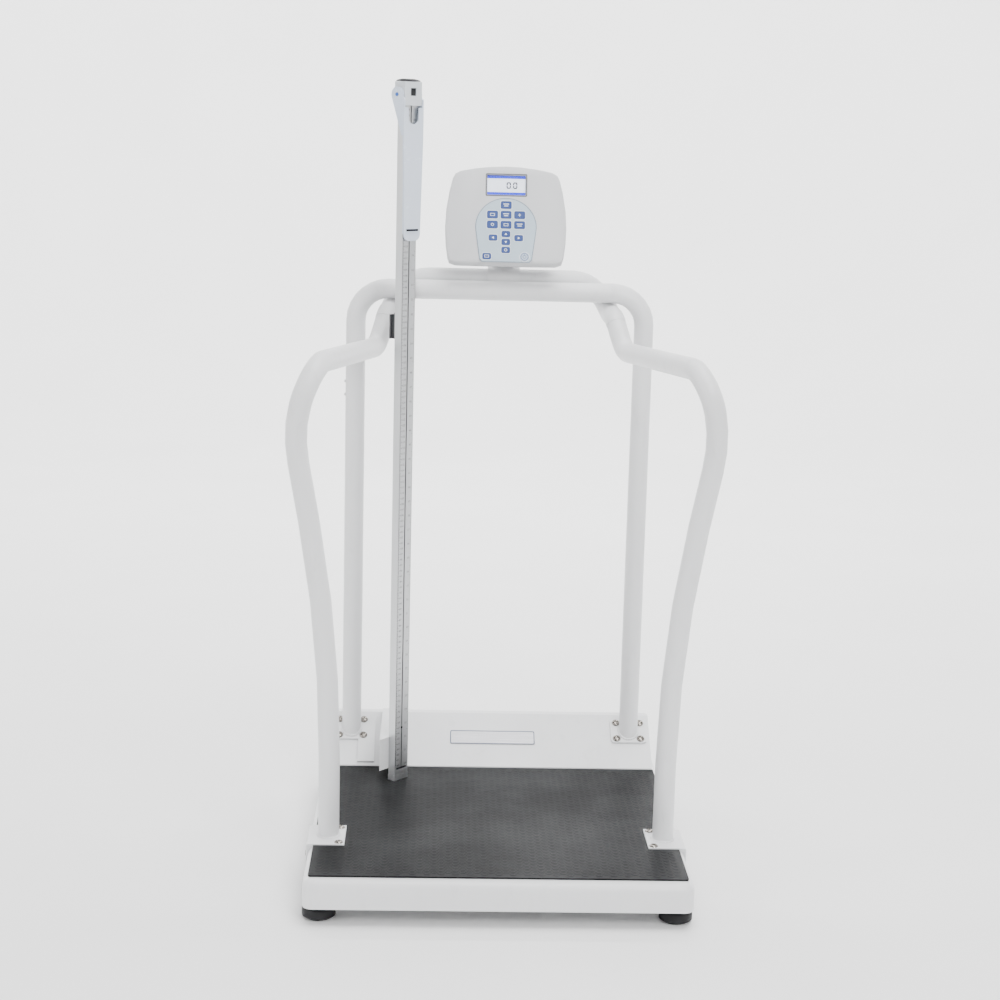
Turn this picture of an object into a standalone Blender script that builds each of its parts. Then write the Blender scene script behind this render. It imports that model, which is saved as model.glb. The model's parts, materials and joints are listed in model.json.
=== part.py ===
"""Platform scale with wrap-around handrails, a tilting display head and a telescopic height rod.

Metres, +Z up. The origin is on the floor under the middle of the base. The user stands on the mat
and faces +Y, towards the display. The front edge of the platform is at -Y.
"""

import math

import bmesh
import bpy
from mathutils import Matrix, Vector

# Driving dimensions
TOUCH_GAP = 0.0003  # between pieces that touch
BASE_WIDTH = 0.620
BASE_DEPTH = 0.675
SKIRT_BOTTOM = 0.0288
DECK_TOP = 0.0748
DECK_WALL = 0.0025
DECK_EDGE_RADIUS = 0.013
DECK_CORNER_RADIUS = 0.018
MAT_THICKNESS = 0.003
MAT_FRONT_RIM = 0.0197
MAT_SIDE_RIM = 0.0086
MAT_CORNER = 0.004
NOTCH_CLEARANCE = 0.0005

COVER_DEPTH = 0.126
COVER_LIP = 0.0045
COVER_RISE = 0.070
COVER_FLAT_TOP = 0.0215
COVER_SIDE_RIM = 0.010
COVER_WALL = 0.002
COVER_CORNER_RADIUS = 0.018
COVER_EDGE_RADIUS = 0.005
NAMEPLATE_WIDTH = 0.158
NAMEPLATE_HEIGHT = 0.031
NAMEPLATE_THICKNESS = 0.001
NAMEPLATE_UP_SLOPE = 0.052

FOOT_INSET_X = 0.0248
FOOT_INSET_Y = 0.0444
FOOT_RADIUS = 0.027
FOOT_HEIGHT = 0.0215
STUD_RADIUS = 0.005
STUD_SEAT = 0.0085  # height of the socket floor inside the foot
NUT_RADIUS = 0.009
NUT_HEIGHT = 0.006
STUD_TOP_MARGIN = 0.0017
CELL_WIDTH = 0.030
CELL_LENGTH = 0.130
CELL_HEIGHT = 0.0222
CELL_END = 0.015  # from the stud's axis to the end of the cell
CELL_HOLE_RADIUS = 0.0072
CHANNEL_WIDTH = 0.036
CHANNEL_HEIGHT = 0.013
CHANNEL_WALL = 0.0025
CHANNEL_END_MARGIN = 0.017
CHANNEL_SIDE_MARGIN = 0.002

TUBE_RADIUS = 0.0176
TUBE_WALL = 0.002
BAR_RADIUS = TUBE_RADIUS + 0.0004  # upper crossbar, a little fatter than the rails that meet it
TUBE_SIDES = 16
HOOP_HEIGHT = 0.9524  # axis of the hoop's crossbar
HOOP_INSET_X = 0.050
HOOP_INSET_Y = 0.0576
HOOP_BEND = 0.058
BAR_ANGLE = 33.0  # the upper crossbar sits behind and above the hoop, seen from its side
ELBOW_TURN = (0.1705, -1.3636, -0.0568)  # from under the hoop to the elbow's last corner, in tube radii
ELBOW_RUN = 0.909  # from that corner to the elbow's end, in tube radii
ELBOW_BEND = 1.591  # bend radius at that corner, in tube radii
ELBOW_START_INSET = 0.180  # where the crossbar starts to turn, from the base's side
ELBOW_END_INSET = 0.110
ELBOW_DROP = 0.003
RAIL_INSET_X = 0.0315
RAIL_FROM_FRONT = 0.193
RAIL_BOW = 0.0591  # how far the front post's bow stands out from its foot
RAIL_LEAN = 0.043  # how far the bow leans forward of the foot
GRIP_OUT = 0.0268  # the grip's front corner, out from the foot
GRIP_FORWARD = 0.098  # the same corner, forward of the foot
GRIP_BELOW_HOOP = 0.0768
GRIP_RISE = 0.021  # the grip climbs this much towards its front
GRIP_FRONT_BEND = 0.048
GRIP_REAR_INSET = 0.040  # the grip's rear corner, inwards of the hoop's post
GRIP_REAR_AHEAD = 0.0694
GRIP_REAR_BEND = 0.045
BOW_SHARE = 0.14228  # of the way from the grip down to the saddle, as are the three below
KNEE_SHARE = 0.57780
BOW_BEND_SHARE = 0.2386
KNEE_BEND_SHARE = 2.4865

FLANGE_THICKNESS = 0.004
FLANGE_HALF_WIDTH = 0.033
FLANGE_LOW = 0.058  # up the slope from the cover's front lip
FLANGE_HIGH = 0.1155
FLANGE_CORNER = 0.006
STRIP_INNER = 0.0945  # inner edge of the left flange's strip, from the base's side
STRIP_WIDTH = 0.031
STRIP_LOW = 0.006
SADDLE_LENGTH = 0.088
SADDLE_INNER = 0.0593
SADDLE_THICKNESS = 0.0042
SADDLE_SIDE_WALL = 0.003
SADDLE_DROP = 0.029

DISPLAY_X = 0.005
DISPLAY_TILT = 20.0
HEAD_HEIGHT = 0.181
HEAD_HALF_WIDTH = 0.108
HEAD_FRONT_DEPTH = 0.020
HEAD_DEPTH = 0.055
HEAD_WALL = 0.003
HINGE_UP_FACE = 0.055  # from the face's bottom edge to the tilt axis
HINGE_BEHIND_BACK = 0.010
HINGE_ABOVE_BAR = 0.0623
HINGE_BARREL_RADIUS = 0.008
HINGE_BARREL_WIDTH = 0.035
HINGE_BOLT_RADIUS = 0.0032
EAR_THICKNESS = 0.006
BOLT_HEAD_RADIUS = 0.006
BOLT_HEAD_HEIGHT = 0.0032
NECK_THICKNESS = 0.009
SADDLE_CLAMP_WIDTH = 0.057
SADDLE_CLAMP_WALL = 0.0035
CLAMP_FIRST_ANGLE = -12.0  # low behind the crossbar
SCREEN_WIDTH = 0.0690
SCREEN_LOW = 0.1262
SCREEN_HIGH = 0.1630
WINDOW_THICKNESS = 0.002
WINDOW_SEAT = 0.0006
LCD_WIDTH = 0.080
LCD_HEIGHT = 0.050
LCD_THICKNESS = 0.008
KEYPAD_RADIUS = 0.0548
KEYPAD_CENTRE = 0.0655
KEYPAD_BOTTOM_HALF = 0.0468
KEYPAD_BOTTOM = 0.0020
KEYPAD_THICKNESS = 0.0007
KEY_WIDTH = 0.0192
KEY_HEIGHT = 0.0140
SMALL_KEY_WIDTH = 0.0153
SMALL_KEY_HEIGHT = 0.0112
KEY_CORNER = 0.0025
KEY_CLEARANCE = 0.0003
KEY_PROUD = 0.0005
KEY_DEPTH = 0.0052
POWER_KEY_RADIUS = 0.0080
BOARD_THICKNESS = 0.0016
BOARD_DEPTH = 0.0068
BOARD_HALF_WIDTH = 0.060
BOARD_LOW = 0.006
BOARD_HIGH = 0.112
BATTERY_DOOR_WIDTH = 0.090
BATTERY_DOOR_HEIGHT = 0.046
BATTERY_DOOR_CENTRE = 0.118
BATTERY_DOOR_THICKNESS = 0.0022

ROD_FROM_SIDE = 0.1457  # middle of the ruler face, from the base's left side
ROD_BEFORE_COVER = 0.0714  # middle of the ruler face, from the cover's front lip
ROD_TURN = 48.6
ROD_WIDTH = 0.0345
ROD_DEPTH = 0.015
ROD_WALL = 0.002
ROD_SLOT = 0.0026
ROD_TOP = 1.305
ROD_INNER_RISE = 0.0078  # how far the inner mast stands above the outer one
ROD_INNER_BOTTOM = 0.115
END_CAP_HEIGHT = 0.0095
END_CAP_MARGIN = 0.001
TOP_CAP_HEIGHT = 0.0042
TOP_CAP_MARGIN = 0.0032
SLIDER_WALL = 0.0035
SLIDER_HEIGHT = 0.0395
SLIDER_BACK_GAP = 0.025
LENS_WIDTH = 0.0135
LENS_HEIGHT = 0.013
LENS_DROP = 0.0105  # from the slider's top to the lens opening
LENS_THICKNESS = 0.0022
CHEEK_THICKNESS = 0.0031
CHEEK_CLEARANCE = 0.0004
PIVOT_BEHIND = 0.0105  # pivot axis, behind the ruler face
PIVOT_DROP = 0.0215  # pivot axis, below the slider's top
PIVOT_RADIUS = 0.0031
LOBE_RADIUS = 0.0130
PADDLE_LENGTH = 0.245
PADDLE_PLATE = 0.0028
PADDLE_CLEAR = 0.0036  # inner face of the paddle, in front of the ruler face
PADDLE_END_HALF = 0.020
PADDLE_NOTCH_HALF = 0.0135
PADDLE_NOTCH_BOTTOM = 0.049
PADDLE_ARM_TOP = 0.0215
BASE_BRACKET_LOW = 0.100
BASE_BRACKET_HIGH = 0.158
BASE_BRACKET_LEFT = 0.041
BASE_BRACKET_WALL = 0.0025
BASE_BRACKET_BACK = 0.026  # from the base's back edge
UPPER_BRACKET_TOP = 0.034  # below the hoop's crossbar axis
UPPER_BRACKET_LENGTH = 0.042
UPPER_NECK_WIDTH = 0.022
UPPER_NECK_LENGTH = 0.0115
UPPER_PLATE_WIDTH = 0.030
UPPER_PLATE_THICKNESS = 0.003
UPPER_ARM_WIDTH = 0.016
UPPER_ARM_HEIGHT = 0.012
UPPER_RING_WALL = 0.0035
UPPER_RING_WIDTH = 0.024
UPPER_RING_FROM_SIDE = 0.144

# Places that follow from the driving dimensions
HALF_WIDTH = BASE_WIDTH / 2
FRONT_Y = -BASE_DEPTH / 2
BACK_Y = BASE_DEPTH / 2
COVER_FRONT_Y = BACK_Y - COVER_DEPTH
COVER_BASE_Z = DECK_TOP + TOUCH_GAP
COVER_LIP_Z = COVER_BASE_Z + COVER_LIP
COVER_RUN = COVER_DEPTH - COVER_FLAT_TOP
SLOPE_ANGLE = math.atan2(COVER_RISE, COVER_RUN)
HOOP_X = HALF_WIDTH - HOOP_INSET_X
HOOP_Y = BACK_Y - HOOP_INSET_Y
BAR_DISTANCE = TUBE_RADIUS + BAR_RADIUS + TOUCH_GAP
BAR_Y = HOOP_Y + BAR_DISTANCE * math.cos(math.radians(BAR_ANGLE))
BAR_Z = HOOP_HEIGHT + BAR_DISTANCE * math.sin(math.radians(BAR_ANGLE))
RAIL_X = HALF_WIDTH - RAIL_INSET_X
RAIL_Y = FRONT_Y + RAIL_FROM_FRONT
SADDLE_TOP = DECK_TOP + TOUCH_GAP + SADDLE_THICKNESS
GRIP_HEIGHT = HOOP_HEIGHT - GRIP_BELOW_HOOP
GRIP_DROP = GRIP_HEIGHT - SADDLE_TOP
SIDES = {"left": -1, "right": 1}
HINGE_Z = BAR_Z + HINGE_ABOVE_BAR
ROD_X = -(HALF_WIDTH - ROD_FROM_SIDE)
ROD_Y = COVER_FRONT_Y - ROD_BEFORE_COVER
ROD_FOOT = DECK_TOP + MAT_THICKNESS + 0.001
SLIDER_TOP = ROD_TOP + ROD_INNER_RISE - TOUCH_GAP
PIVOT_Z = SLIDER_TOP - PIVOT_DROP


# Helpers

def clear_scene():
    for obj in list(bpy.data.objects):
        bpy.data.objects.remove(obj)


def make_material(name, colour, roughness, metallic=0.0):
    material = bpy.data.materials.new(name)
    material.use_nodes = True
    shader = material.node_tree.nodes["Principled BSDF"]
    shader.inputs["Base Color"].default_value = (*colour, 1)
    shader.inputs["Roughness"].default_value = roughness
    shader.inputs["Metallic"].default_value = metallic
    return material


def finish(name, mesh_data, look, frame=None, smooth=True):
    """Turns a bmesh into a named object, under the frame it belongs to."""
    bmesh.ops.remove_doubles(mesh_data, verts=mesh_data.verts, dist=1e-7)
    bmesh.ops.recalc_face_normals(mesh_data, faces=mesh_data.faces)
    mesh = bpy.data.meshes.new(name)
    mesh_data.to_mesh(mesh)
    mesh_data.free()
    obj = bpy.data.objects.new(name, mesh)
    bpy.context.scene.collection.objects.link(obj)
    if smooth:
        mesh.shade_smooth()
        mesh.set_sharp_from_angle(angle=math.radians(35))
    if look:
        mesh.materials.append(make_material(name, *look))
    if frame:
        obj.parent = frame
    return obj


def make_frame(name, place, turn=(0, 0, 0)):
    frame = bpy.data.objects.new(name, None)
    frame.location = place
    frame.rotation_euler = turn
    bpy.context.scene.collection.objects.link(frame)
    return frame


def rings_to_mesh(rings, cap_start=True, cap_end=True, loop=False):
    """Skins rings of equal length. A loop joins the last ring to the first."""
    mesh_data = bmesh.new()
    loops = [[mesh_data.verts.new(point) for point in ring] for ring in rings]
    pairs = list(zip(loops, loops[1:]))
    if loop:
        pairs.append((loops[-1], loops[0]))
    for low, high in pairs:
        count = len(low)
        for i in range(count):
            j = (i + 1) % count
            mesh_data.faces.new((low[i], low[j], high[j], high[i]))
    if not loop:
        if cap_start:
            mesh_data.faces.new(list(reversed(loops[0])))
        if cap_end:
            mesh_data.faces.new(loops[-1])
    return mesh_data


def prism(outline, low, high, axis="z"):
    """A flat outline given as pairs, extruded between two heights along an axis."""
    def lift(pair, height):
        p, q = pair
        return {"z": (p, q, height), "x": (height, p, q), "y": (p, height, q)}[axis]
    return rings_to_mesh([[lift(pair, height) for pair in outline] for height in (low, high)])


def rounded_rectangle(width, depth, radius, segments=4, centre=(0, 0)):
    points = []
    for corner, (sx, sy) in enumerate(((1, 1), (-1, 1), (-1, -1), (1, -1))):
        middle_x = centre[0] + sx * (width / 2 - radius)
        middle_y = centre[1] + sy * (depth / 2 - radius)
        for i in range(segments + 1):
            angle = math.radians(90) * (corner + i / segments)
            points.append((middle_x + radius * math.cos(angle), middle_y + radius * math.sin(angle)))
    return points


def round_corners(corners, radius, segments=3):
    """Rounds each corner of a closed outline of pairs."""
    points = []
    count = len(corners)
    for i, corner in enumerate(corners):
        here = Vector(corner)
        before = (Vector(corners[i - 1]) - here).normalized()
        after = (Vector(corners[(i + 1) % count]) - here).normalized()
        half = math.acos(max(-1.0, min(1.0, before.dot(after)))) / 2
        reach = radius / math.tan(half)
        centre = here + (before + after).normalized() * (radius / math.sin(half))
        start, end = here + before * reach - centre, here + after * reach - centre
        sweep = start.angle_signed(end)
        for step in range(segments + 1):
            turned = Matrix.Rotation(-sweep * step / segments, 2) @ start
            points.append(tuple(centre + turned))
    return points


def box(name, low, high, look, frame=None, edge=0.0):
    outline = [(low[0], low[1]), (high[0], low[1]), (high[0], high[1]), (low[0], high[1])]
    mesh_data = prism(outline, low[2], high[2])
    if edge:
        bmesh.ops.bevel(mesh_data, geom=mesh_data.edges[:], offset=edge, segments=1, affect="EDGES")
    return finish(name, mesh_data, look, frame, smooth=False)


def lathe(profile, sides):
    """Rings turned about Z from pairs of radius and height."""
    rings = []
    for radius, height in profile:
        angles = [2 * math.pi * i / sides for i in range(sides)]
        rings.append([(radius * math.cos(a), radius * math.sin(a), height) for a in angles])
    return rings_to_mesh(rings)


def rod_along(start, end, radius, sides=12):
    axis = Vector(end) - Vector(start)
    turn = axis.to_track_quat("Z", "Y").to_matrix().to_4x4()
    mesh_data = lathe([(radius, 0), (radius, axis.length)], sides)
    bmesh.ops.transform(mesh_data, matrix=Matrix.Translation(start) @ turn, verts=mesh_data.verts)
    return mesh_data


def rounded_path(corners, radii, degrees_per_step=13.0):
    """A polyline whose inner corners become arcs of the given radii."""
    points = [Vector(corners[0])]
    for i in range(1, len(corners) - 1):
        here = Vector(corners[i])
        into = (here - Vector(corners[i - 1])).normalized()
        out = (Vector(corners[i + 1]) - here).normalized()
        angle = into.angle(out)
        radius = radii[i - 1]
        if radius == 0:
            points.append(here)
            continue
        reach = radius * math.tan(angle / 2)
        centre = here + (out - into).normalized() * (radius / math.cos(angle / 2))
        start = here - into * reach - centre
        axis = into.cross(out).normalized()
        steps = max(3, round(math.degrees(angle) / degrees_per_step))
        for step in range(steps + 1):
            points.append(centre + Matrix.Rotation(angle * step / steps, 3, axis) @ start)
    points.append(Vector(corners[-1]))
    return points


def path_frames(points, first_up):
    """Cross-section axes carried along a path without twist."""
    frames = []
    across = None
    for i, point in enumerate(points):
        ahead = points[min(i + 1, len(points) - 1)] - point
        behind = point - points[max(i - 1, 0)]
        along = (ahead.normalized() if ahead.length else Vector()) + (
            behind.normalized() if behind.length else Vector())
        along.normalize()
        guide = across if across else Vector(first_up)
        across = (guide - along * guide.dot(along)).normalized()
        frames.append((across, along.cross(across)))
    return frames


def pipe_rings(points, radius, first_up, sides=TUBE_SIDES):
    rings = []
    for point, (across, up) in zip(points, path_frames(points, first_up)):
        angles = [2 * math.pi * i / sides for i in range(sides)]
        rings.append([point + radius * (math.cos(a) * across + math.sin(a) * up) for a in angles])
    return rings


def pipe(name, points, radius, look, first_up, cut=None):
    """A hollow bent tube with open ends. cut moves the points of the two end rings."""
    outer = pipe_rings(points, radius, first_up)
    inner = pipe_rings(points, radius - TUBE_WALL, first_up)
    if cut:
        for rings in (outer, inner):
            for ring in (rings[0], rings[-1]):
                for point in ring:
                    point.z = cut(point)
    return finish(name, rings_to_mesh(outer + inner[::-1], loop=True), look)


def combine(obj, others, operation):
    """Joins or cuts obj with helpers, which stay hidden."""
    for i, other in enumerate(others):
        other.hide_render = True
        other.display_type = "WIRE"
        modifier = obj.modifiers.new(f"{operation.lower()}_{i}", "BOOLEAN")
        modifier.operation = operation
        modifier.solver = "EXACT"
        modifier.object = other


def helper(name, mesh_data, frame=None):
    return finish(name, mesh_data, None, frame, smooth=False)


def shell(outer, inner):
    """A cup: outer and inner skins of rings, joined at their first rings and capped at their last."""
    mesh_data = rings_to_mesh(outer[::-1] + inner, cap_start=True, cap_end=True)
    return mesh_data


# Finishes: colour, roughness, metallic
WHITE_PAINT = ((0.82, 0.83, 0.84), 0.38)
BLACK_RUBBER = ((0.02, 0.02, 0.022), 0.62)
BLACK_PLASTIC = ((0.025, 0.025, 0.028), 0.45)
STEEL = ((0.55, 0.56, 0.57), 0.32, 1.0)
ZINC = ((0.62, 0.63, 0.62), 0.42, 1.0)
ALUMINIUM = ((0.66, 0.67, 0.68), 0.34, 1.0)
SHELL_PLASTIC = ((0.72, 0.73, 0.74), 0.42)
OVERLAY_FILM = ((0.66, 0.71, 0.76), 0.40)
KEY_BLUE = ((0.075, 0.135, 0.42), 0.42)
SCREEN_BLUE = ((0.10, 0.16, 0.75), 0.20)
GLASS = ((0.80, 0.85, 0.92), 0.06)
CIRCUIT_GREEN = ((0.03, 0.18, 0.08), 0.45)
PALE_PLASTIC = ((0.80, 0.84, 0.88), 0.35)
PIN_BLUE = ((0.03, 0.12, 0.38), 0.35)
DARK_STEEL = ((0.06, 0.06, 0.065), 0.45, 0.6)
PLATE_BLUE_GREY = ((0.30, 0.34, 0.42), 0.35, 0.4)


# Base

def deck_rings(inset, top, radius, lowest):
    rings = []
    levels = [(0.0, lowest)]
    for step in range(5):
        angle = math.radians(90) * step / 4
        levels.append((radius * (1 - math.cos(angle)), top - radius + radius * math.sin(angle)))
    for extra, height in levels:
        shrink = inset + extra
        corner = max(DECK_CORNER_RADIUS - shrink, 0.002)
        outline = rounded_rectangle(BASE_WIDTH - 2 * shrink, BASE_DEPTH - 2 * shrink, corner, 6)
        rings.append([(x, y, height) for x, y in outline])
    return rings


def make_deck():
    outer = deck_rings(0.0, DECK_TOP, DECK_EDGE_RADIUS, SKIRT_BOTTOM)
    inner_radius = DECK_EDGE_RADIUS - DECK_WALL
    inner = deck_rings(DECK_WALL, DECK_TOP - DECK_WALL, inner_radius, SKIRT_BOTTOM)
    finish("platform_deck", shell(outer, inner), WHITE_PAINT)


def make_mat():
    side = HALF_WIDTH - MAT_SIDE_RIM
    front = FRONT_Y + MAT_FRONT_RIM
    back = COVER_FRONT_Y - TOUCH_GAP
    notch_x = HALF_WIDTH - SADDLE_INNER - NOTCH_CLEARANCE
    notch_low = RAIL_Y - SADDLE_LENGTH / 2 - NOTCH_CLEARANCE
    notch_high = RAIL_Y + SADDLE_LENGTH / 2 + NOTCH_CLEARANCE
    right = [(side, front), (side, notch_low), (notch_x, notch_low), (notch_x, notch_high),
             (side, notch_high), (side, back)]
    left = [(-x, y) for x, y in reversed(right)]
    corner = MAT_CORNER
    right[0:1] = [(side - corner, front), (side - corner * 0.3, front + corner * 0.3), (side, front + corner)]
    left[-1:] = [(-side, front + corner),
                 (-side + corner * 0.3, front + corner * 0.3),
                 (-side + corner, front)]
    low = DECK_TOP + TOUCH_GAP
    finish("tread_mat", prism(right + left, low, DECK_TOP + MAT_THICKNESS), BLACK_RUBBER, smooth=False)


def cover_profile(inset, below=0.0):
    """Side view of the rear cover as pairs of Y and Z, set in from its outer faces."""
    slope_in = inset / math.cos(SLOPE_ANGLE)
    front = COVER_FRONT_Y + inset
    back = BACK_Y - inset
    top = COVER_LIP_Z + COVER_RISE - inset
    slope_start = COVER_LIP_Z + inset * math.tan(SLOPE_ANGLE) - slope_in
    slope_end = front + (top - slope_start) / math.tan(SLOPE_ANGLE)
    bottom = COVER_BASE_Z - below
    lip = max(slope_start, bottom + 0.0002)
    return [(front, bottom), (back, bottom), (back, top), (slope_end, top), (front, lip)]


def make_rear_cover():
    width = BASE_WIDTH - 2 * COVER_SIDE_RIM
    corners = cover_profile(0.0)
    back_top = round_corners(corners, COVER_EDGE_RADIUS, 4)[10:15]
    outline = corners[:2] + back_top + corners[3:]
    cover = finish("rear_cover", prism(outline, -width / 2, width / 2, "x"), WHITE_PAINT)
    plan = rounded_rectangle(width, 2 * COVER_DEPTH, COVER_CORNER_RADIUS, 6, (0, BACK_Y - COVER_DEPTH))
    limit = helper("cover_plan_limit", prism(plan, COVER_BASE_Z - 0.01, COVER_LIP_Z + COVER_RISE + 0.01))
    combine(cover, [limit], "INTERSECT")
    half = width / 2 - COVER_WALL
    hollow = helper("cover_hollow", prism(cover_profile(COVER_WALL, 0.01), -half, half, "x"))
    combine(cover, [hollow], "DIFFERENCE")


def slope_point(x, up_slope, above):
    """A point over the cover's slope: distance up it from the lip, and height off its surface."""
    y = COVER_FRONT_Y + up_slope * math.cos(SLOPE_ANGLE) - above * math.sin(SLOPE_ANGLE)
    z = COVER_LIP_Z + up_slope * math.sin(SLOPE_ANGLE) + above * math.cos(SLOPE_ANGLE)
    return (x, y, z)


def slope_plate(name, outline, thickness, look):
    levels = (TOUCH_GAP, TOUCH_GAP + thickness)
    rings = [[slope_point(x, up, above) for x, up in outline] for above in levels]
    return finish(name, rings_to_mesh(rings), look, smooth=False)


def make_nameplate():
    centre = (0.004, NAMEPLATE_UP_SLOPE + NAMEPLATE_HEIGHT / 2)
    outline = rounded_rectangle(NAMEPLATE_WIDTH, NAMEPLATE_HEIGHT, 0.003, 3, centre)
    slope_plate("nameplate", outline, NAMEPLATE_THICKNESS, PLATE_BLUE_GREY)


def make_supports():
    """Stiffener channels, load cells, studs and feet under the deck."""
    deck_under = DECK_TOP - DECK_WALL
    channel_top = deck_under - TOUCH_GAP
    channel_low = channel_top - CHANNEL_HEIGHT
    cell_top = channel_low - TOUCH_GAP
    cell_low = cell_top - CELL_HEIGHT
    foot_x = HALF_WIDTH - FOOT_INSET_X
    half = CHANNEL_WIDTH / 2
    wall = CHANNEL_WALL
    y_low = FRONT_Y + CHANNEL_END_MARGIN
    # The channel's outer flange stays clear of the deck's rounded edge
    centre = HALF_WIDTH - DECK_EDGE_RADIUS - CHANNEL_SIDE_MARGIN - half
    for side, sign in SIDES.items():
        outline = [(-half, channel_low), (half, channel_low), (half, channel_top), (half - wall, channel_top),
                   (half - wall, channel_low + wall), (-half + wall, channel_low + wall),
                   (-half + wall, channel_top), (-half, channel_top)]
        outline = [(sign * centre + x, z) for x, z in outline]
        finish(f"cell_channel_{side}", prism(outline, y_low, -y_low, "y"), ZINC, smooth=False)
        for end, along in (("front", -1), ("rear", 1)):
            foot_y = along * (BASE_DEPTH / 2 - FOOT_INSET_Y)
            place = (sign * foot_x, foot_y)
            make_load_cell(f"{end}_{side}", place, -along, cell_low, cell_top)
            make_foot(f"{end}_{side}", place, cell_low, cell_top)


def make_load_cell(where, place, inward, low, high):
    near = place[1] - inward * CELL_END
    far = near + inward * CELL_LENGTH
    y_low, y_high = sorted((near, far))
    half = CELL_WIDTH / 2
    cell = box(f"load_cell_{where}", (place[0] - half, y_low, low), (place[0] + half, y_high, high),
               ALUMINIUM, edge=0.0008)
    stud_hole = helper(f"stud_hole_{where}", rod_along((*place, low - 0.01), (*place, high + 0.01),
                                                      STUD_RADIUS + TOUCH_GAP, 16))
    middle_y = (y_low + y_high) / 2
    middle_z = (low + high) / 2
    gauge_holes = []
    for shift in (-1, 1):
        hole_y = middle_y + shift * CELL_HOLE_RADIUS * 0.8
        start = (place[0] - CELL_WIDTH, hole_y, middle_z)
        end = (place[0] + CELL_WIDTH, hole_y, middle_z)
        gauge_holes.append(helper(f"gauge_hole_{where}_{shift}", rod_along(start, end, CELL_HOLE_RADIUS, 16)))
    combine(cell, [stud_hole, *gauge_holes], "DIFFERENCE")


def make_foot(where, place, cell_low, cell_top):
    frame = make_frame(f"foot_axis_{where}", (*place, 0))
    socket = STUD_RADIUS + TOUCH_GAP
    pad = [(FOOT_RADIUS - 0.006, 0), (FOOT_RADIUS, 0.004), (FOOT_RADIUS, FOOT_HEIGHT - 0.0055),
           (FOOT_RADIUS - 0.005, FOOT_HEIGHT), (socket, FOOT_HEIGHT), (socket, STUD_SEAT)]
    finish(f"foot_pad_{where}", lathe(pad, 20), BLACK_RUBBER, frame)
    nut_low = FOOT_HEIGHT + 0.002
    stud = [(STUD_RADIUS, STUD_SEAT + TOUCH_GAP), (STUD_RADIUS, nut_low), (NUT_RADIUS, nut_low),
            (NUT_RADIUS, nut_low + NUT_HEIGHT), (STUD_RADIUS, nut_low + NUT_HEIGHT),
            (STUD_RADIUS, cell_top - STUD_TOP_MARGIN)]
    finish(f"foot_stud_{where}", lathe(stud, 12), STEEL, frame)


# Handrail frame

def flange_top(point):
    """Height of the rear flange's upper face under a point, plus the touching gap."""
    above = TOUCH_GAP + FLANGE_THICKNESS + TOUCH_GAP
    run = point.y - COVER_FRONT_Y
    return COVER_LIP_Z + run * math.tan(SLOPE_ANGLE) + above / math.cos(SLOPE_ANGLE)


def make_rear_hoop():
    start = COVER_LIP_Z
    corners = [(-HOOP_X, HOOP_Y, start), (-HOOP_X, HOOP_Y, HOOP_HEIGHT), (HOOP_X, HOOP_Y, HOOP_HEIGHT),
               (HOOP_X, HOOP_Y, start)]
    points = rounded_path(corners, [HOOP_BEND, HOOP_BEND])
    pipe("rear_hoop", points, TUBE_RADIUS, WHITE_PAINT, (0, 1, 0), cut=flange_top)


def make_rear_flanges():
    inner, outer = HOOP_X - FLANGE_HALF_WIDTH, HOOP_X + FLANGE_HALF_WIDTH
    right = [(inner, FLANGE_LOW), (outer, FLANGE_LOW), (outer, FLANGE_HIGH), (inner, FLANGE_HIGH)]
    slope_plate("rear_flange_right", round_corners(right, FLANGE_CORNER), FLANGE_THICKNESS, WHITE_PAINT)
    strip_inner = -(HALF_WIDTH - STRIP_INNER)
    strip_outer = strip_inner - STRIP_WIDTH
    left = [(-outer, FLANGE_LOW), (strip_outer, FLANGE_LOW), (strip_outer, STRIP_LOW), (strip_inner, STRIP_LOW),
            (strip_inner, FLANGE_HIGH), (-outer, FLANGE_HIGH)]
    slope_plate("rear_flange_left", left, FLANGE_THICKNESS, WHITE_PAINT)


def elbow_corners():
    """Right end of the upper crossbar: it winds round behind the hoop and comes out under it."""
    start_x = HALF_WIDTH - ELBOW_START_INSET
    end_x = HALF_WIDTH - ELBOW_END_INSET
    first, last = math.radians(BAR_ANGLE), math.radians(-90)
    steps = 9
    points = []
    for step in range(steps + 1):
        part = step / steps
        angle = first + (last - first) * part ** 1.7
        x = start_x + (end_x - start_x) * (1 - (1 - part) ** 1.7)
        reach = BAR_DISTANCE + ELBOW_DROP * part ** 2
        points.append(Vector((x, HOOP_Y + reach * math.cos(angle), HOOP_HEIGHT + reach * math.sin(angle))))
    return points


def elbow_end():
    """Where the elbow meets the rail, and which way the rail leaves it."""
    under = elbow_corners()[-1]
    turn = under + Vector(ELBOW_TURN) * TUBE_RADIUS
    way = (rail_corners()[0] - turn).normalized()
    return turn, turn + way * ELBOW_RUN * TUBE_RADIUS, way


def make_upper_crossbar():
    turn, end, _ = elbow_end()
    corners = elbow_corners() + [turn, end]
    radii = [0.0] * (len(corners) - 3) + [ELBOW_BEND * TUBE_RADIUS]
    right = rounded_path(corners, radii)
    left = [Vector((-point.x, point.y, point.z)) for point in reversed(right)]
    pipe("upper_crossbar", left + right, BAR_RADIUS, WHITE_PAINT, (0, 0, 1))


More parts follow.
